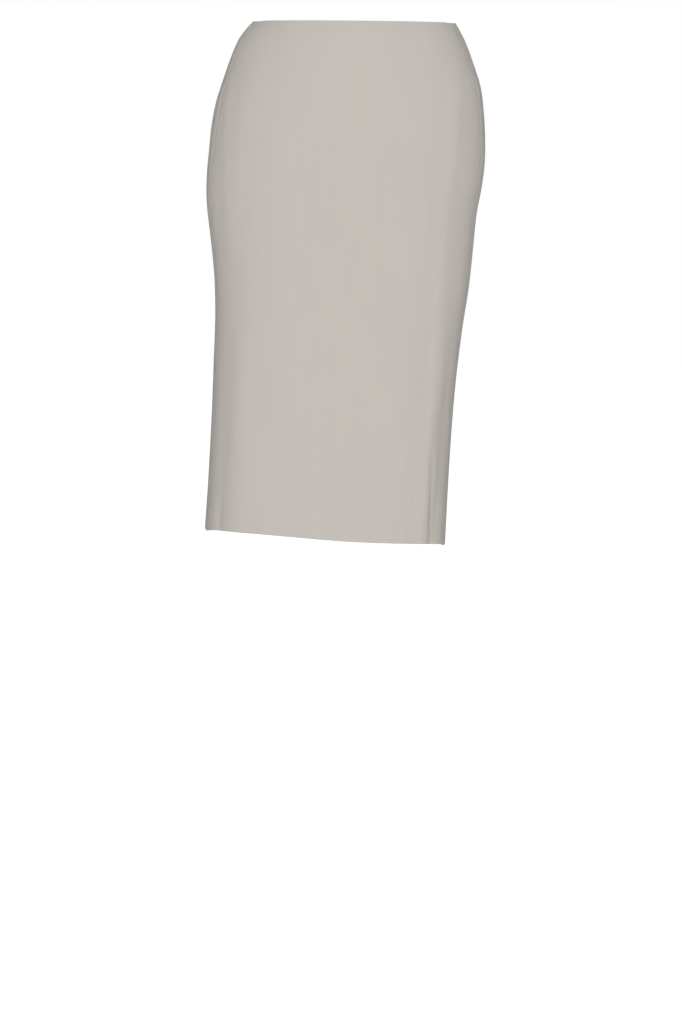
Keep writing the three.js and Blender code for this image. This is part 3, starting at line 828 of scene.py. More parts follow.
@dataclass
class ClothPanel:
    """A panel of the skirt: one sheet, folded in at its waist, seams and hem."""

    skin: Skin
    name: str
    node: str
    thickness: float = 0.75
    fold: float = 1.1  # radius of the plain folds at the waist and hem
    bulky_fold: float = 2.35  # and where a seam's turnings lie inside them
    seam_fold: float = 0.8
    seam_gap: float = 0.05
    allowance: float = 14
    turn_in: float = 13
    column: float = 2.8
    row: float = 2.8
    flat_from: float = 3.2  # from the waist and the hem to the outside's first flat row
    fold_steps: int = 8
    waist_rows: int = 4
    hem_rows: int = 10
    least_fold: float = 0.12  # radius of a fold nested inside another
    worn_end: float = 2.2  # how far in the cloth is rubbed at the waist and hem
    worn_side: float = 1.6
    grid: Grid = field(init=False)

    def rows(self) -> list[Row]:
        """The rows, from the waist's turning to the hem's."""
        inside = [Row(Place.WAIST, math.pi, self.turn_in * k / self.waist_rows)
                  for k in range(self.waist_rows, 0, -1)]
        waist = [Row(Place.WAIST, math.pi * k / self.fold_steps, 0) for k in range(self.fold_steps, -1, -1)]
        top, foot = self.flat_from, LENGTH - self.flat_from
        stops = [top, VENT_TOP - 2.2, VENT_TOP - 1, foot]
        body: list[float] = []
        for start, end in zip(stops, stops[1:]):
            count = max(1, round((end - start) / self.row))
            body += list(np.linspace(start, end, count, endpoint=False))
        outside = [Row(Place.BODY, 0, drop) for drop in [*body, foot]]
        hem = [Row(Place.HEM, math.pi * k / self.fold_steps, 0) for k in range(self.fold_steps + 1)]
        up = [Row(Place.HEM, math.pi, HEM_DEPTH * k / self.hem_rows) for k in range(1, self.hem_rows + 1)]
        return inside + waist + outside + hem + up

    def nominal(self, row: Row) -> float:
        """The drop at which a row's columns are worked out."""
        if row.place is Place.BODY:
            return row.run
        return row.run if row.place is Place.WAIST else LENGTH - row.run

    def folded_edge(self, allowance: np.ndarray, count: int = 4) -> tuple[np.ndarray, np.ndarray]:
        """The columns of a folded edge, from its raw end to its outer face.

        Args:
            allowance: The width of its turning, by row.
            count: The columns across the turning.

        Returns:
            The distance in from the edge and the inset of each, by row and column.
        """
        turns = np.linspace(0, math.pi, 6)[None, :]
        flat = self.seam_fold + allowance * np.linspace(1, 0, count, endpoint=False)[None, :]
        away = np.hstack([flat, np.repeat(self.seam_fold * (1 - np.sin(turns)), len(flat), axis=0)])
        inset = np.hstack([np.full_like(flat, 2 * self.seam_fold),
                           np.repeat(self.seam_fold * (1 + np.cos(turns)), len(flat), axis=0)])
        return away, inset

    def bulk_beside(self, turning: Numbers, away: np.ndarray) -> np.ndarray:
        """The share of the extra fold room beside a turning, by the distance from its edge."""
        return 1 - smooth_step(turning + 1, turning + 13, away)

    def across(self, drop: np.ndarray) -> Across:
        """The panel's columns at some drops.

        Args:
            drop: The drops, one a row.

        Returns:
            The columns.
        """
        raise NotImplementedError

    def places(self) -> tuple[Grid, np.ndarray]:
        """The grid's vertices, and how rubbed each is."""
        rows = self.rows()
        drop = np.array([self.nominal(row) for row in rows])[:, None]
        lines = self.across(drop)
        radius = self.fold + (self.bulky_fold - self.fold) * lines.bulk
        turn = np.array([row.turn for row in rows])[:, None]
        run = np.array([0.0 if row.place is Place.BODY else row.run for row in rows])[:, None]
        flat_inside = np.isclose(turn, math.pi)
        nested = np.maximum(radius - lines.inset, self.least_fold)
        depth = lines.base + radius - nested * np.cos(turn)
        past = radius - nested * np.sin(turn) + np.where(flat_inside, run * lines.turned, 0)
        hem_past = radius - nested * np.sin(turn) + np.where(flat_inside, run, 0)
        kinds = np.array([row.place.name for row in rows])[:, None]
        body = kinds == Place.BODY.name
        drops = np.where(kinds == Place.WAIST.name, past, LENGTH - hem_past)
        drops = np.where(body, drop, drops)
        depths = np.where(body, lines.base + lines.inset, depth)
        from_ends = np.minimum(np.abs(drops), np.abs(LENGTH - drops))
        wear = np.maximum(bump_at(from_ends, 0, self.worn_end), bump_at(lines.edge, 0, self.worn_side))
        lean = self.across(drop + 1).arcs - self.across(drop).arcs
        arcs = lines.arcs + lean * (drops - drop)
        points, outward = self.skin.point(arcs, drops, depths), self.skin.outward(arcs, drops)
        return Grid(rows, arcs, drops, depths, lines.inset, lines.base, points, outward), wear

    def cut_out(self, faces: list[tuple[bmesh.types.BMFace, int, int]]) -> list[bmesh.types.BMFace]:
        """The faces that the maker cuts away, given each with its column and row."""
        return []

    def build(self, material: bpy.types.Material) -> bpy.types.Object:
        """Makes the panel.

        Args:
            material: The cloth's material.

        Returns:
            The piece.
        """
        self.grid, wear = self.places()
        points = self.grid.points * MM
        count_rows, count_columns = wear.shape
        shape = bmesh.new()
        bmesh.ops.create_grid(shape, x_segments=count_columns - 1, y_segments=count_rows - 1, size=1.0)
        rubbed = shape.verts.layers.float.new("wear")
        cloth_map = shape.loops.layers.uv.new("cloth")
        step_across = np.linalg.norm(np.diff(points, axis=1), axis=-1)
        u = np.pad(np.cumsum(step_across, axis=1), ((0, 0), (1, 0)))
        u -= u[:, count_columns // 2][:, None]
        middle = points[:, count_columns // 2]
        v = np.pad(np.cumsum(np.linalg.norm(np.diff(middle, axis=0), axis=-1)), (1, 0))
        places: dict[bmesh.types.BMVert, tuple[int, int]] = {}
        for vert in shape.verts:
            column = round((vert.co.x + 1) / 2 * (count_columns - 1))
            row = round((1 - vert.co.y) / 2 * (count_rows - 1))
            places[vert] = (row, column)
            vert[rubbed] = wear[row, column]
        for vert, place in places.items():
            vert.co = Vector(points[place])
        lay_map(shape, cloth_map, {vert: (u[place], -v[place[0]]) for vert, place in places.items()})
        marked = [(face, min(places[v][1] for v in face.verts), min(places[v][0] for v in face.verts))
                  for face in shape.faces]
        cut = self.cut_out(marked)
        if cut:
            bmesh.ops.delete(shape, geom=cut, context="FACES")
        shape.normal_update()
        middle_row, near = count_rows // 2, 3
        sample = next(f for f in shape.faces
                      if all(places[v][0] in (middle_row, middle_row + 1) for v in f.verts)
                      and all(abs(places[v][1] - count_columns // 2) < near for v in f.verts))
        if sample.normal.dot(Vector(self.grid.outward[places[sample.verts[0]]])) < 0:
            bmesh.ops.reverse_faces(shape, faces=list(shape.faces))
        piece = finish_piece(shape, self.name, material, "skirt")
        thicken(piece, self.thickness)
        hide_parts(self.node)
        return piece


@dataclass
class FrontPanel(ClothPanel):
    """The front: one piece from side seam to side seam."""

    name: str = "front_cloth"
    node: str = "front_panel"

    def across(self, drop: np.ndarray) -> Across:
        """The front's columns at some drops."""
        right = self.skin.seam(Side.RIGHT, drop) + self.seam_gap
        left = self.skin.seam(Side.LEFT, drop) - self.seam_gap
        away, inset = self.folded_edge(np.full_like(drop, self.allowance))
        start, end = right + self.seam_fold, left - self.seam_fold
        count = round(float(np.max(end - start)) / self.column)
        shares = np.linspace(0, 1, count + 1)[None, 1:-1]
        flat = start + (end - start) * shares
        arcs = np.hstack([right + away, flat, left - away[:, ::-1]])
        insets = np.hstack([inset, 0 * flat, inset[:, ::-1]])
        edge = np.minimum(np.abs(arcs - right), np.abs(left - arcs))
        bulk = self.bulk_beside(self.allowance, edge)
        return Across(arcs, insets, 0 * arcs, bulk, np.ones_like(arcs), edge)


@dataclass
class BackPanel(ClothPanel):
    """What the two backs share: a side seam, a dart and the zip's edge."""

    side: Side = Side.LEFT
    dart_column: float = 1.2
    dart_reach: float = 7
    zip_turning: float = 1.5  # of the waist's turning, where it is cut away at the zip
    cut_away: tuple[float, float] = (13, 24)  # from the centre, where the turning grows back
    lug_reach: float = 0.74
    lug_length: float = 3.6
    lap_columns: int = 12

    def lug_room(self, drop: np.ndarray) -> np.ndarray:
        """How far the edge stands back to let the slider's lug through."""
        return self.lug_reach * bump_at(drop, SLIDER_DROP, self.lug_length)

    def flat_columns(self, start: np.ndarray, end: np.ndarray, drop: np.ndarray) -> np.ndarray:
        """Columns from one line to another, closest at the dart.

        Args:
            start: The first line.
            end: The last line.
            drop: The drops.

        Returns:
            The arcs of the columns between the lines, both included.
        """
        dart = self.skin.dart(self.side, drop)
        toward = self.side.value
        before, after = dart - toward * self.dart_reach, dart + toward * self.dart_reach
        parts = []
        for low, high, step in ((start, before, self.column), (before, after, self.dart_column),
                                (after, end, self.column)):
            count = round(float(np.max(np.abs(high - low))) / step)
            parts.append(low + (high - low) * np.linspace(0, 1, count + 1)[None, :-1])
        return np.hstack([*parts, end])

    def turned_share(self, from_centre: np.ndarray) -> np.ndarray:
        """The share of the waist's turning that is left beside the zip."""
        least = self.zip_turning / self.turn_in
        return least + (1 - least) * smooth_step(*self.cut_away, from_centre)


@dataclass
class LeftBack(BackPanel):
    """The left back, whose free edge below the vent's top is the lap."""

    name: str = "back_left_cloth"
    node: str = "back_left_panel"
    lap_facing: float = 40
    facing_fade: float = 26
    spread: float = 9

    def across(self, drop: np.ndarray) -> Across:
        """The left back's columns at some drops."""
        seam = self.skin.seam(Side.LEFT, drop) + self.seam_gap
        centre = self.skin.centre(Side.LEFT, drop)
        swing = self.spread * smooth_step(VENT_TOP, PAST_HEM, drop)
        edge_line = centre - self.seam_gap - swing - self.lug_room(drop)
        away, inset = self.folded_edge(np.full_like(drop, self.allowance))
        grows = smooth_step(VENT_TOP - self.facing_fade, VENT_TOP, drop)
        facing = self.allowance + (self.lap_facing - self.allowance) * grows
        lap_away, lap_inset = self.folded_edge(facing, self.lap_columns)
        flat = self.flat_columns(seam + self.seam_fold, edge_line - self.seam_fold, drop)[:, 1:-1]
        arcs = np.hstack([seam + away, flat, edge_line - lap_away[:, ::-1]])
        insets = np.hstack([inset, 0 * flat, lap_inset[:, ::-1]])
        from_seam, from_edge = np.abs(arcs - seam), np.abs(edge_line - arcs)
        bulk = np.maximum(self.bulk_beside(self.allowance, from_seam), self.bulk_beside(facing, from_edge))
        edge = np.minimum(from_seam, from_edge)
        return Across(arcs, insets, 0 * arcs, bulk, self.turned_share(from_edge), edge)


@dataclass
class RightBack(BackPanel):
    """The right back, which runs on under the lap below the vent's top."""

    name: str = "back_right_cloth"
    node: str = "back_right_panel"
    side: Side = Side.RIGHT
    underlap: float = 44
    dip: float = 10
    lap_depth: float = 3.4
    hem_depth: float = 5.1  # of the underlap where the lap's hem lies over it
    hem_fade: float = 50
    step_fade: float = 22.5
    first_cut: int = field(init=False, default=0)  # the first column of the centre turning

    def across(self, drop: np.ndarray) -> Across:
        """The right back's columns at some drops."""
        seam = self.skin.seam(Side.RIGHT, drop) - self.seam_gap
        centre = self.skin.centre(Side.RIGHT, drop)
        edge_line = centre + self.seam_gap + self.lug_room(drop)
        away, inset = self.folded_edge(np.full_like(drop, self.allowance))
        flat = self.flat_columns(seam - self.seam_fold, edge_line + self.dip, drop)[:, 1:]
        # beside the centre the sheet either turns in at the seam or steps down under the lap
        lap_away, lap_inset = self.folded_edge(np.full_like(drop, self.allowance), self.lap_columns)
        closing = edge_line + self.dip + (self.seam_fold - self.dip) * np.linspace(0, 1, 6)[None, 1:-1]
        closed = np.hstack([closing, edge_line + lap_away[:, ::-1]])
        closed_inset = np.hstack([0 * closing, lap_inset[:, ::-1]])
        stepping = edge_line + self.dip * np.linspace(1, 0, closing.shape[1] + 2)[None, 1:-1]
        under = edge_line - self.underlap * np.linspace(0, 1, lap_away.shape[1])[None, :]
        opened = np.hstack([stepping, under])
        is_open = drop >= UNDERLAP_TOP
        beside = np.where(is_open, opened, closed)
        beside_inset = np.where(is_open, 0, closed_inset)
        hem_top = LENGTH - HEM_DEPTH
        under_hem = smooth_step(hem_top - self.hem_fade, hem_top, drop)
        depth = self.lap_depth + (self.hem_depth - self.lap_depth) * under_hem
        arcs = np.hstack([seam - away, flat, beside])
        steps_down = smooth_step(UNDERLAP_TOP - self.step_fade, UNDERLAP_TOP, drop)
        base = depth * steps_down * smooth_step(-self.dip, -0.4, edge_line - arcs)
        insets = np.hstack([inset, 0 * flat, beside_inset])
        from_seam, from_edge = np.abs(seam - arcs), np.abs(arcs - edge_line)
        centre_bulk = np.where(is_open, 0, self.bulk_beside(self.allowance, from_edge))
        bulk = np.maximum(self.bulk_beside(self.allowance, from_seam), centre_bulk)
        self.first_cut = arcs.shape[1] - lap_away.shape[1]
        from_underlap = np.abs(arcs - (edge_line - self.underlap))
        edge = np.minimum(from_seam, np.where(is_open, from_underlap, from_edge))
        return Across(arcs, insets, base, bulk, self.turned_share(from_edge), edge)

    def cut_out(self, faces: list[tuple[bmesh.types.BMFace, int, int]]) -> list[bmesh.types.BMFace]:
        """The clip in the centre turning at the vent's top, where the underlap begins."""
        clip = max(k for k, row in enumerate(self.rows())
                   if row.place is Place.BODY and row.run < UNDERLAP_TOP)
        return [face for face, column, row in faces if row == clip and column >= self.first_cut]


@dataclass
class Closure:
    """The concealed zip in the back centre seam, with its slider and pull."""

    skin: Skin
    tape_top: float = 3
    tape_width: float = 12
    tape_thickness: float = 0.6
    tape_depth: float = 1.85
    slit: float = 0.8
    coil_pitch: float = 1.35
    coil_width: float = 1.5
    coil_height: float = 0.85
    coil_thread: float = 0.26
    coil_gap: float = 0.1  # between the coil and its tape
    core_radius: float = 0.42
    rim: float = 0.22  # of the rounded edges of the metal
    stop_size: tuple[float, float, float] = (1.9, 2.6, 2.2)
    foot_stop_size: tuple[float, float, float] = (4.4, 3.4, 2.4)

    @property
    def back_face(self) -> float:
        """The depth of the tapes' side towards the inside."""
        return self.tape_depth + self.tape_thickness

    @property
    def coil_depth(self) -> float:
        """The depth of the coil's middle."""
        return self.back_face + self.coil_height + self.coil_gap

    @property
    def coil_ends(self) -> tuple[float, float]:
        """The drops at which the coil begins and ends."""
        return self.tape_top + 3, ZIP_END - 6

    def build(self, finishes: Finishes) -> list[bpy.types.Object]:
        """Makes the zip.

        Args:
            finishes: The materials.

        Returns:
            Its pieces.
        """
        pieces = []
        for side, word in ((Side.LEFT, "left"), (Side.RIGHT, "right")):
            tape = self.tape(side, f"zip_tape_woven_{word}", finishes.tape)
            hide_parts(f"zip_tape_{word}")
            pieces += [tape, self.coil(side, f"zip_coil_{word}", finishes.coil),
                       self.core(side, f"zip_core_{word}", finishes.coil)]
            pieces.append(self.stop(-side.value * 1.1, self.tape_top + 1.6, self.stop_size,
                                    f"zip_stop_{word}", finishes.lacquer))
        pieces.append(self.stop(0.0, ZIP_END - 5, self.foot_stop_size, "zip_stop_foot", finishes.lacquer))
        pieces.append(self.rounded("zip_slider", "slider_lacquered", "skirt", finishes.lacquer))
        pieces.append(self.rounded("zip_pull", "pull_lacquered", "pull", finishes.lacquer, 0.9))
        return pieces

    def tape(self, side: Side, name: str, material: bpy.types.Material) -> bpy.types.Object:
        """One tape, flat against the turning of its back.

        Args:
            side: Its side.
            name: The piece's name.
            material: Its material.

        Returns:
            The piece.
        """
        shape = bmesh.new()
        across, along = 8, 90
        bmesh.ops.create_grid(shape, x_segments=across, y_segments=along, size=1.0)
        cloth_map = shape.loops.layers.uv.new("cloth")
        uv: dict[bmesh.types.BMVert, tuple[float, float]] = {}
        verts = list(shape.verts)
        share = np.array([(v.co.x + 1) / 2 for v in verts])
        drop = self.tape_top + (ZIP_END - self.tape_top) * np.array([(1 - v.co.y) / 2 for v in verts])
        arc = self.skin.centre(side, drop) - side.value * (self.slit + self.tape_width * share)
        depth = self.tape_depth + 0.12 * np.sin(drop / 4) * smooth_step(0.3, 1, share)
        points = self.skin.point(arc, drop, depth) * MM
        for vert, point, part, low in zip(verts, points, share, drop):
            vert.co = Vector(point)
            uv[vert] = (part * self.tape_width * MM, -low * MM)
        lay_map(shape, cloth_map, uv)
        face_back(shape)
        piece = finish_piece(shape, name, material, "skirt")
        thicken(piece, self.tape_thickness)
        return piece

    def coil(self, side: Side, name: str, material: bpy.types.Material) -> bpy.types.Object:
        """One row of the zip's coil, sewn along the edge of its tape.

        Args:
            side: Its side.
            name: The piece's name.
            material: Its material.

        Returns:
            The piece.
        """
        top, foot = self.coil_ends
        turns = int((foot - top) / self.coil_pitch)
        t = np.linspace(0, 2 * math.pi * turns, turns * 8 + 1) + (math.pi if side is Side.LEFT else 0)
        drop = top + (foot - top) * np.linspace(0, 1, len(t))
        reach = self.slit * 0.35 + self.coil_width * (0.5 - 0.5 * np.cos(t)) - 0.45
        arc = self.skin.centre(side, drop) - side.value * reach
        depth = self.coil_depth + self.coil_height * np.sin(t)
        points = self.skin.point(arc, drop, depth) * MM
        return thread_piece([points], name, material, self.coil_thread)

    def core(self, side: Side, name: str, material: bpy.types.Material) -> bpy.types.Object:
        """The cord inside one row of the coil.

        Args:
            side: Its side.
            name: The piece's name.
            material: Its material.

        Returns:
            The piece.
        """
        drop = np.arange(*self.coil_ends, 1.5)
        arc = self.skin.centre(side, drop) - side.value * self.core_radius
        points = self.skin.point(arc, drop, self.coil_depth) * MM
        return thread_piece([points], name, material, self.core_radius)

    def stop(self, across: float, drop: float, size: tuple[float, float, float], name: str,
             material: bpy.types.Material) -> bpy.types.Object:
        """A small clamp that ends a row of the coil.

        Args:
            across: Its place across from the back centre, towards the garment's left.
            drop: Its drop.
            size: Its width, height and thickness.
            name: The piece's name.
            material: Its material.

        Returns:
            The piece.
        """
        shape = bmesh.new()
        bmesh.ops.create_cube(shape, size=1.0)
        bmesh.ops.scale(shape, vec=Vector(size) * MM, verts=list(shape.verts))
        bmesh.ops.bevel(shape, geom=list(shape.edges), offset=0.45 * MM, offset_type="OFFSET", segments=3,
                        profile=0.5, affect="EDGES", material=-1)
        place = self.skin.axes_at(self.skin.centre(Side.LEFT, np.array(drop)) + across, drop,
                                  self.back_face + size[2] / 2 - 0.5)
        bmesh.ops.transform(shape, matrix=place, verts=list(shape.verts))
        for face in shape.faces:
            face.smooth = True
        return finish_piece(shape, name, material, "skirt")

    def rounded(self, node: str, name: str, body: str, material: bpy.types.Material,
                recess: float = 0.0) -> bpy.types.Object:
        """A metal piece with its edges rounded, in the place of its solid.

        Args:
            node: The solid.
            name: The piece's name.
            body: The body that it rides on.
            material: Its material.
            recess: The width of the rim round its sunk outer face, if it has one.

        Returns:
            The piece.
        """
        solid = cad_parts[node]
        shape = bmesh.new()
        shape.from_mesh(solid.data)
        bmesh.ops.transform(shape, matrix=solid.matrix_world, verts=list(shape.verts))
        bmesh.ops.remove_doubles(shape, verts=list(shape.verts), dist=2e-6)
        bmesh.ops.dissolve_limit(shape, angle_limit=math.radians(4), verts=list(shape.verts),
                                 edges=list(shape.edges))
        crisp = [e for e in shape.edges if len(e.link_faces) == 2 and e.calc_face_angle() > math.radians(40)]
        panel = max(shape.faces, key=lambda face: face.calc_area() * (face.normal.y > 0.8))
        if recess:
            bmesh.ops.inset_region(shape, faces=[panel], thickness=recess * MM, depth=0.0)
            crisp += list(panel.edges)
            bmesh.ops.inset_region(shape, faces=[panel], thickness=0.12 * MM, depth=-0.25 * MM)
        crisp = [edge for edge in crisp if edge.is_valid]
        bmesh.ops.bevel(shape, geom=crisp, offset=self.rim * MM, offset_type="OFFSET", segments=2,
                        profile=0.5, affect="EDGES", material=-1, clamp_overlap=True)
        bmesh.ops.recalc_face_normals(shape, faces=list(shape.faces))
        piece = finish_piece(shape, name, material, body)
        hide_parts(node)
        return piece


def thread_piece(runs: Sequence[np.ndarray], name: str, material: bpy.types.Material, radius: float) -> bpy.types.Object:
    """Thread as round tubes along some runs of points.

    Args:
        runs: The points of each run, in metres.
        name: The piece's name.
        material: Its material.
        radius: The thread's radius, in millimetres.

    Returns:
        The piece.
    """
    curve = bpy.data.curves.new(name, "CURVE")
    curve.dimensions = "3D"
    curve.bevel_depth = radius * MM
    curve.bevel_resolution = 1
    curve.resolution_u = 1
    curve.use_fill_caps = True
    for points in runs:
        spline = curve.splines.new("POLY")
        spline.points.add(len(points) - 1)
        spline.points.foreach_set("co", np.hstack([points, np.ones((len(points), 1))]).ravel())
    curve.materials.append(material)
    piece = bpy.data.objects.new(name, curve)
    bpy.context.scene.collection.objects.link(piece)
    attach(piece, "skirt")
    LOG.info("%s: %d runs, %d points", name, len(runs), sum(len(points) for points in runs))
    return piece


@dataclass
class Sewing:
    """The sewing inside: overlocked raw edges, the hem's catch stitch and rows of stitches."""

    skin: Skin
    thread: float = 0.16
    overlock_width: float = 3.4
    overlock_pitch: float = 2.3
    catch_pitch: float = 8.5
    catch_on_hem: float = 3.2  # how far below the hem's raw edge the catch stitch reaches
    catch_above: float = 2.6
    stitch: float = 2.1
    stitch_pitch: float = 3.1
    waist_row: float = 3.4  # the drop of the stitches that hold the waist's turning
    seam_depth: float = 1.12  # of the thread between the two folds of a seam

    def build(self, panels: Sequence[ClothPanel], closure: Closure, finishes: Finishes) -> None:
        """Makes all of the sewing.

        Args:
            panels: The panels, already built.
            closure: The zip.
            finishes: The materials.
        """
        for panel in panels:
            word = panel.name.removesuffix("_cloth")
            thread_piece(self.overlocked(panel), f"{word}_overlock", finishes.thread, self.thread)
            thread_piece([self.caught(panel)], f"{word}_hem_catch", finishes.thread, self.thread)
            thread_piece(self.waist_stitches(panel), f"{word}_waist_stitches", finishes.thread, self.thread)
        thread_piece(self.seams(), "seam_threads", finishes.thread, self.thread)
        thread_piece(self.tape_stitches(closure), "zip_stitches", finishes.thread, self.thread)

    def seams(self) -> list[np.ndarray]:
        """The thread down each side seam, and down the back centre from the zip to the vent.

        Returns:
            The points of each run.
        """
        side_drops = np.arange(1.6, LENGTH - 1.2, 1.2)
        lines = [(self.skin.seam(side, side_drops), side_drops) for side in Side]
        back_drops = np.arange(ZIP_END - 4, VENT_TOP + 1, 1.2)
        lines.append((self.skin.centre(Side.LEFT, back_drops), back_drops))
        return [self.skin.point(arcs, drops, self.seam_depth + 0.05 * np.sin(drops * 2.4)) * MM
                for arcs, drops in lines]

    def overlocked(self, panel: ClothPanel) -> list[np.ndarray]:
        """The thread over each raw edge of a panel.

        Args:
            panel: The panel.

        Returns:
            The points of each run.
        """
        grid = panel.grid
        shown = [k for k, row in enumerate(grid.rows)
                 if row.place is Place.BODY and panel.turn_in + 4 < row.run < LENGTH - HEM_DEPTH - 3]
        above = [k for k in shown if grid.rows[k].run < VENT_TOP - 4]
        below = [k for k in shown if grid.rows[k].run > VENT_TOP + 1]
        seam, centre = (0, 1), (-1, -2)
        if isinstance(panel, RightBack):
            sides = [(seam, shown), (centre, above), (centre, below)]
        else:
            sides = [(seam, shown), (centre, shown)]
        runs = [self.over_edge(grid.points[rows, edge], grid.points[rows, inner], grid.outward[rows, edge])
                for (edge, inner), rows in sides]
        flat = np.flatnonzero(grid.inset[0] < 0.01)
        for edge, inner in ((0, 1), (-1, -2)):
            runs.append(self.over_edge(grid.points[edge, flat], grid.points[inner, flat],
                                       grid.outward[edge, flat]))
        return runs

    def over_edge(self, edge: np.ndarray, inner: np.ndarray, outward: np.ndarray) -> np.ndarray:
        """Thread that goes to and fro over a raw edge.

        Args:
            edge: Points along the edge, in millimetres.
            inner: Points beside them on the cloth.
            outward: The skin's outward directions there.

        Returns:
            The thread's points, in metres.
        """
        run = np.pad(np.cumsum(np.linalg.norm(np.diff(edge, axis=0), axis=1)), (1, 0))
        places = np.arange(0, run[-1], self.overlock_pitch / 3)
        toward = inner - edge
        toward = toward / np.linalg.norm(toward, axis=1, keepdims=True)

        def along(values: np.ndarray) -> np.ndarray:
            """The values at the thread's places."""
            return np.stack([np.interp(places, run, values[:, k]) for k in range(3)], axis=1)

        step = np.arange(len(places)) % 3
        reach = np.choose(step, [self.overlock_width, -0.1, -0.1])[:, None]
        lift = np.choose(step, [0.14, 0.1, -0.6])[:, None]
        return (along(edge) + along(toward) * reach - along(outward) * lift) * MM

    def caught(self, panel: ClothPanel) -> np.ndarray:
        """The catch stitch between the hem's raw edge and the cloth behind it.

        Args:
            panel: The panel.

        Returns:
            The thread's points, in metres.
        """
        grid = panel.grid
        flat = np.flatnonzero((grid.inset[-1] < 0.01) & (grid.base[-1] < 0.01))
        arcs, drop, depth = grid.arcs[-1, flat], grid.drops[-1, flat], grid.depths[-1, flat]
        places = np.arange(arcs.min() + 6, arcs.max() - 6, self.catch_pitch / 2)
        order = np.argsort(arcs)
        drop = np.interp(places, arcs[order], drop[order])
        depth = np.interp(places, arcs[order], depth[order])
        on_hem = np.arange(len(places)) % 2 == 0
        drop = np.where(on_hem, drop + self.catch_on_hem, drop - self.catch_above)
        depth = np.where(on_hem, depth + 0.2, panel.thickness + 0.15)
        return self.skin.point(places, drop, depth) * MM

    def stitches(self, arcs: np.ndarray, drops: np.ndarray, depths: np.ndarray) -> list[np.ndarray]:
        """A row of separate stitches.

        Args:
            arcs: Arcs along the row.
            drops: The drops there.
            depths: How deep the cloth's visible side lies there.

        Returns:
            The points of each stitch.
        """
        points = self.skin.point(arcs, drops, depths)
        run = np.pad(np.cumsum(np.linalg.norm(np.diff(points, axis=0), axis=1)), (1, 0))
        starts = np.arange(0.5, run[-1] - self.stitch, self.stitch_pitch)
        rows = []
        for start in starts:
            places = start + self.stitch * np.array([0, 0.2, 0.5, 0.8, 1])
            deep = np.interp(places, run, depths) + np.array([-0.3, 0.08, 0.14, 0.08, -0.3])
            arc, drop = np.interp(places, run, arcs), np.interp(places, run, drops)
            rows.append(self.skin.point(arc, drop, deep) * MM)
        return rows

    def waist_stitches(self, panel: ClothPanel) -> list[np.ndarray]:
        """The stitches that hold the waist's turning down."""
        flat = np.flatnonzero(panel.grid.inset[0] < 0.01)
        nearest = panel.waist_rows - 1  # the turning's row next to the fold
        arcs = panel.grid.arcs[nearest, flat]
        depths = panel.grid.depths[nearest, flat]
        return self.stitches(arcs, np.full_like(arcs, self.waist_row), depths)

    def tape_stitches(self, closure: Closure) -> list[np.ndarray]:
        """The stitches down each of the zip's tapes."""
        drops = np.arange(20.0, ZIP_END - 3, 1.5)
        rows = []
        for side in Side:
            for share in (0.34, 0.86):
                away = closure.slit + closure.tape_width * share
                arcs = self.skin.centre(side, drops) - side.value * away
                rows += self.stitches(arcs, drops, np.full_like(drops, closure.back_face))
        return rows


@dataclass
class DartFold:
    """The cloth folded inside each dart, pressed towards the back centre."""

    skin: Skin
    width: float = 11.5
    top: float = 13.8
    thickness: float = 1.3
    depth: float = 0.95
    foot_gap: float = 4  # from the fold's end to the dart's point
    least_width: float = 0.4

    def build(self, side: Side, material: bpy.types.Material) -> bpy.types.Object:
        """Makes one dart's fold.

        Args:
            side: Its side.
            material: The cloth's material.

        Returns:
            The piece.
        """
        shape = bmesh.new()
        bmesh.ops.create_grid(shape, x_segments=6, y_segments=46, size=1.0)
        cloth_map = shape.loops.layers.uv.new("cloth")
        verts = list(shape.verts)
        share = np.array([(v.co.x + 1) / 2 for v in verts])
        foot = self.skin.dart_length - self.foot_gap
        drop = self.top + (foot - self.top) * np.array([(1 - v.co.y) / 2 for v in verts])
        width = self.width * (1 - drop / self.skin.dart_length) ** 0.9 + self.least_width
        arc = self.skin.dart(side, drop) + side.value * width * share
        depth = self.depth + self.skin.lift(self.skin.dart(side, drop), drop) * (1 - share) * 0.3
        points = self.skin.point(arc, drop, depth) * MM
        places = {vert: (a, d) for vert, a, d in zip(verts, arc * MM, drop * MM)}
        for vert, point in zip(verts, points):
            vert.co = Vector(point)
        lay_map(shape, cloth_map, places)
        face_back(shape)
        piece = finish_piece(shape, f"dart_fold_{side.name.lower()}", material, "skirt")
        thicken(piece, self.thickness)
        return piece


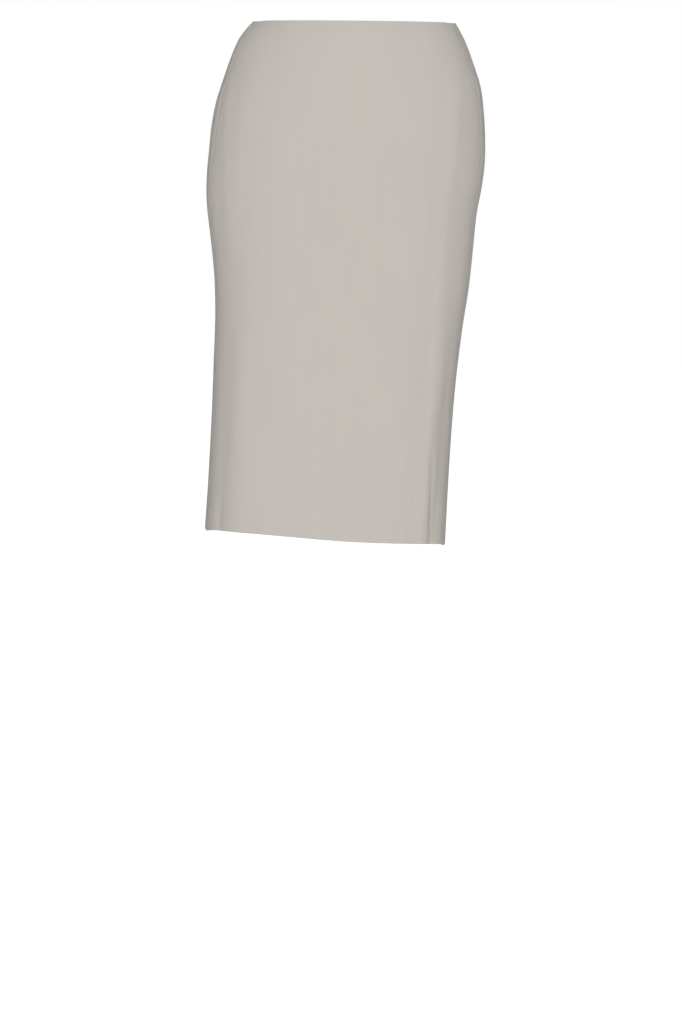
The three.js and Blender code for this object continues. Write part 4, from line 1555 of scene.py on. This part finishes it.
@dataclass
class Studio:
    """The plain pale floor, the soft light and the camera."""

    floor_drop: float = 1.172
    camera_at: tuple[float, float, float] = (-0.0165, -4.5, -0.336)
    aim: tuple[float, float, float] = (-0.0165, 0.0, -0.594)
    lens: float = 130.0
    sensor: float = 36.0
    ambient: float = 0.33
    key_at: tuple[float, float, float] = (0.0, -4.3, -0.1)
    key_power: float = 169.0
    rear_at: tuple[float, float, float] = (0.3, 4.4, 0.6)
    rear_power: float = 120.0
    light_size: float = 2.6
    lit: tuple[float, float, float] = (0.0, 0.0, -0.31)  # the point that the lights face

    def build(self) -> None:
        """Makes the floor, the world, the lights and the camera."""
        self.floor()
        self.world()
        self.light("key", self.key_at, self.key_power)
        self.light("rear", self.rear_at, self.rear_power)
        self.camera()
        scene = bpy.context.scene
        scene.view_settings.view_transform = "Standard"
        scene.view_settings.look = "None"

    def floor(self) -> None:
        """The floor, which isn't part of the skirt."""
        shape = bmesh.new()
        bmesh.ops.create_grid(shape, x_segments=1, y_segments=1, size=40.0)
        bmesh.ops.translate(shape, vec=(0, 0, -self.floor_drop), verts=list(shape.verts))
        mesh = bpy.data.meshes.new("floor")
        shape.to_mesh(mesh)
        shape.free()
        mesh.materials.append(FloorFinish().material())
        floor = bpy.data.objects.new("floor", mesh)
        floor.visible_diffuse = False  # its white would light the skirt from below
        bpy.context.scene.collection.objects.link(floor)

    def world(self) -> None:
        """White all round where it is seen, and an even soft light elsewhere."""
        world = bpy.data.worlds.new("studio")
        world.use_nodes = True
        tree = world.node_tree
        seen = tree.nodes.new("ShaderNodeBackground")
        seen.inputs["Color"].default_value = (1.0, 1.0, 1.0, 1.0)
        seen.inputs["Strength"].default_value = 1.0
        light = next(n for n in tree.nodes if n.type == "BACKGROUND" and n != seen)
        light.inputs["Color"].default_value = (1.0, 1.0, 1.0, 1.0)
        light.inputs["Strength"].default_value = self.ambient
        path = tree.nodes.new("ShaderNodeLightPath")
        mix = tree.nodes.new("ShaderNodeMixShader")
        out = next(n for n in tree.nodes if n.type == "OUTPUT_WORLD")
        tree.links.new(path.outputs["Is Camera Ray"], mix.inputs[0])
        tree.links.new(light.outputs[0], mix.inputs[1])
        tree.links.new(seen.outputs[0], mix.inputs[2])
        tree.links.new(mix.outputs[0], out.inputs[0])
        bpy.context.scene.world = world

    def light(self, name: str, place: tuple[float, float, float], power: float) -> None:
        """A square soft light that faces the skirt.

        Args:
            name: Its name.
            place: Where it stands.
            power: Its power in watts.
        """
        data = bpy.data.lights.new(name, "AREA")
        data.shape = "SQUARE"
        data.size = self.light_size
        data.energy = power
        lamp = bpy.data.objects.new(name, data)
        lamp.visible_camera = False
        lamp.location = place
        lamp.rotation_euler = (Vector(self.lit) - Vector(place)).to_track_quat("-Z", "Y").to_euler()
        bpy.context.scene.collection.objects.link(lamp)

    def camera(self) -> None:
        """The camera, at the photograph's angle and distance."""
        data = bpy.data.cameras.new("camera")
        data.sensor_fit = "VERTICAL"
        data.sensor_height = self.sensor
        data.lens = self.lens
        data.clip_end = 100
        camera = bpy.data.objects.new("camera", data)
        camera.location = self.camera_at
        look = Vector(self.aim) - Vector(self.camera_at)
        camera.rotation_euler = look.to_track_quat("-Z", "Y").to_euler()
        bpy.context.scene.collection.objects.link(camera)
        bpy.context.scene.camera = camera


def main() -> None:
    """Builds the skirt and its studio, and reports each piece."""
    logging.basicConfig(level=logging.INFO, format="%(message)s")
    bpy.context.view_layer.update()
    Studio().build()
    skin = Skin()
    finishes = Finishes()
    panels = (FrontPanel(skin), LeftBack(skin), RightBack(skin))
    for panel in panels:
        panel.build(finishes.cloth)
    for side in Side:
        DartFold(skin).build(side, finishes.cloth)
    closure = Closure(skin)
    closure.build(finishes)
    Sewing(skin).build(panels, closure, finishes)


if __name__ == "__main__":
    main()
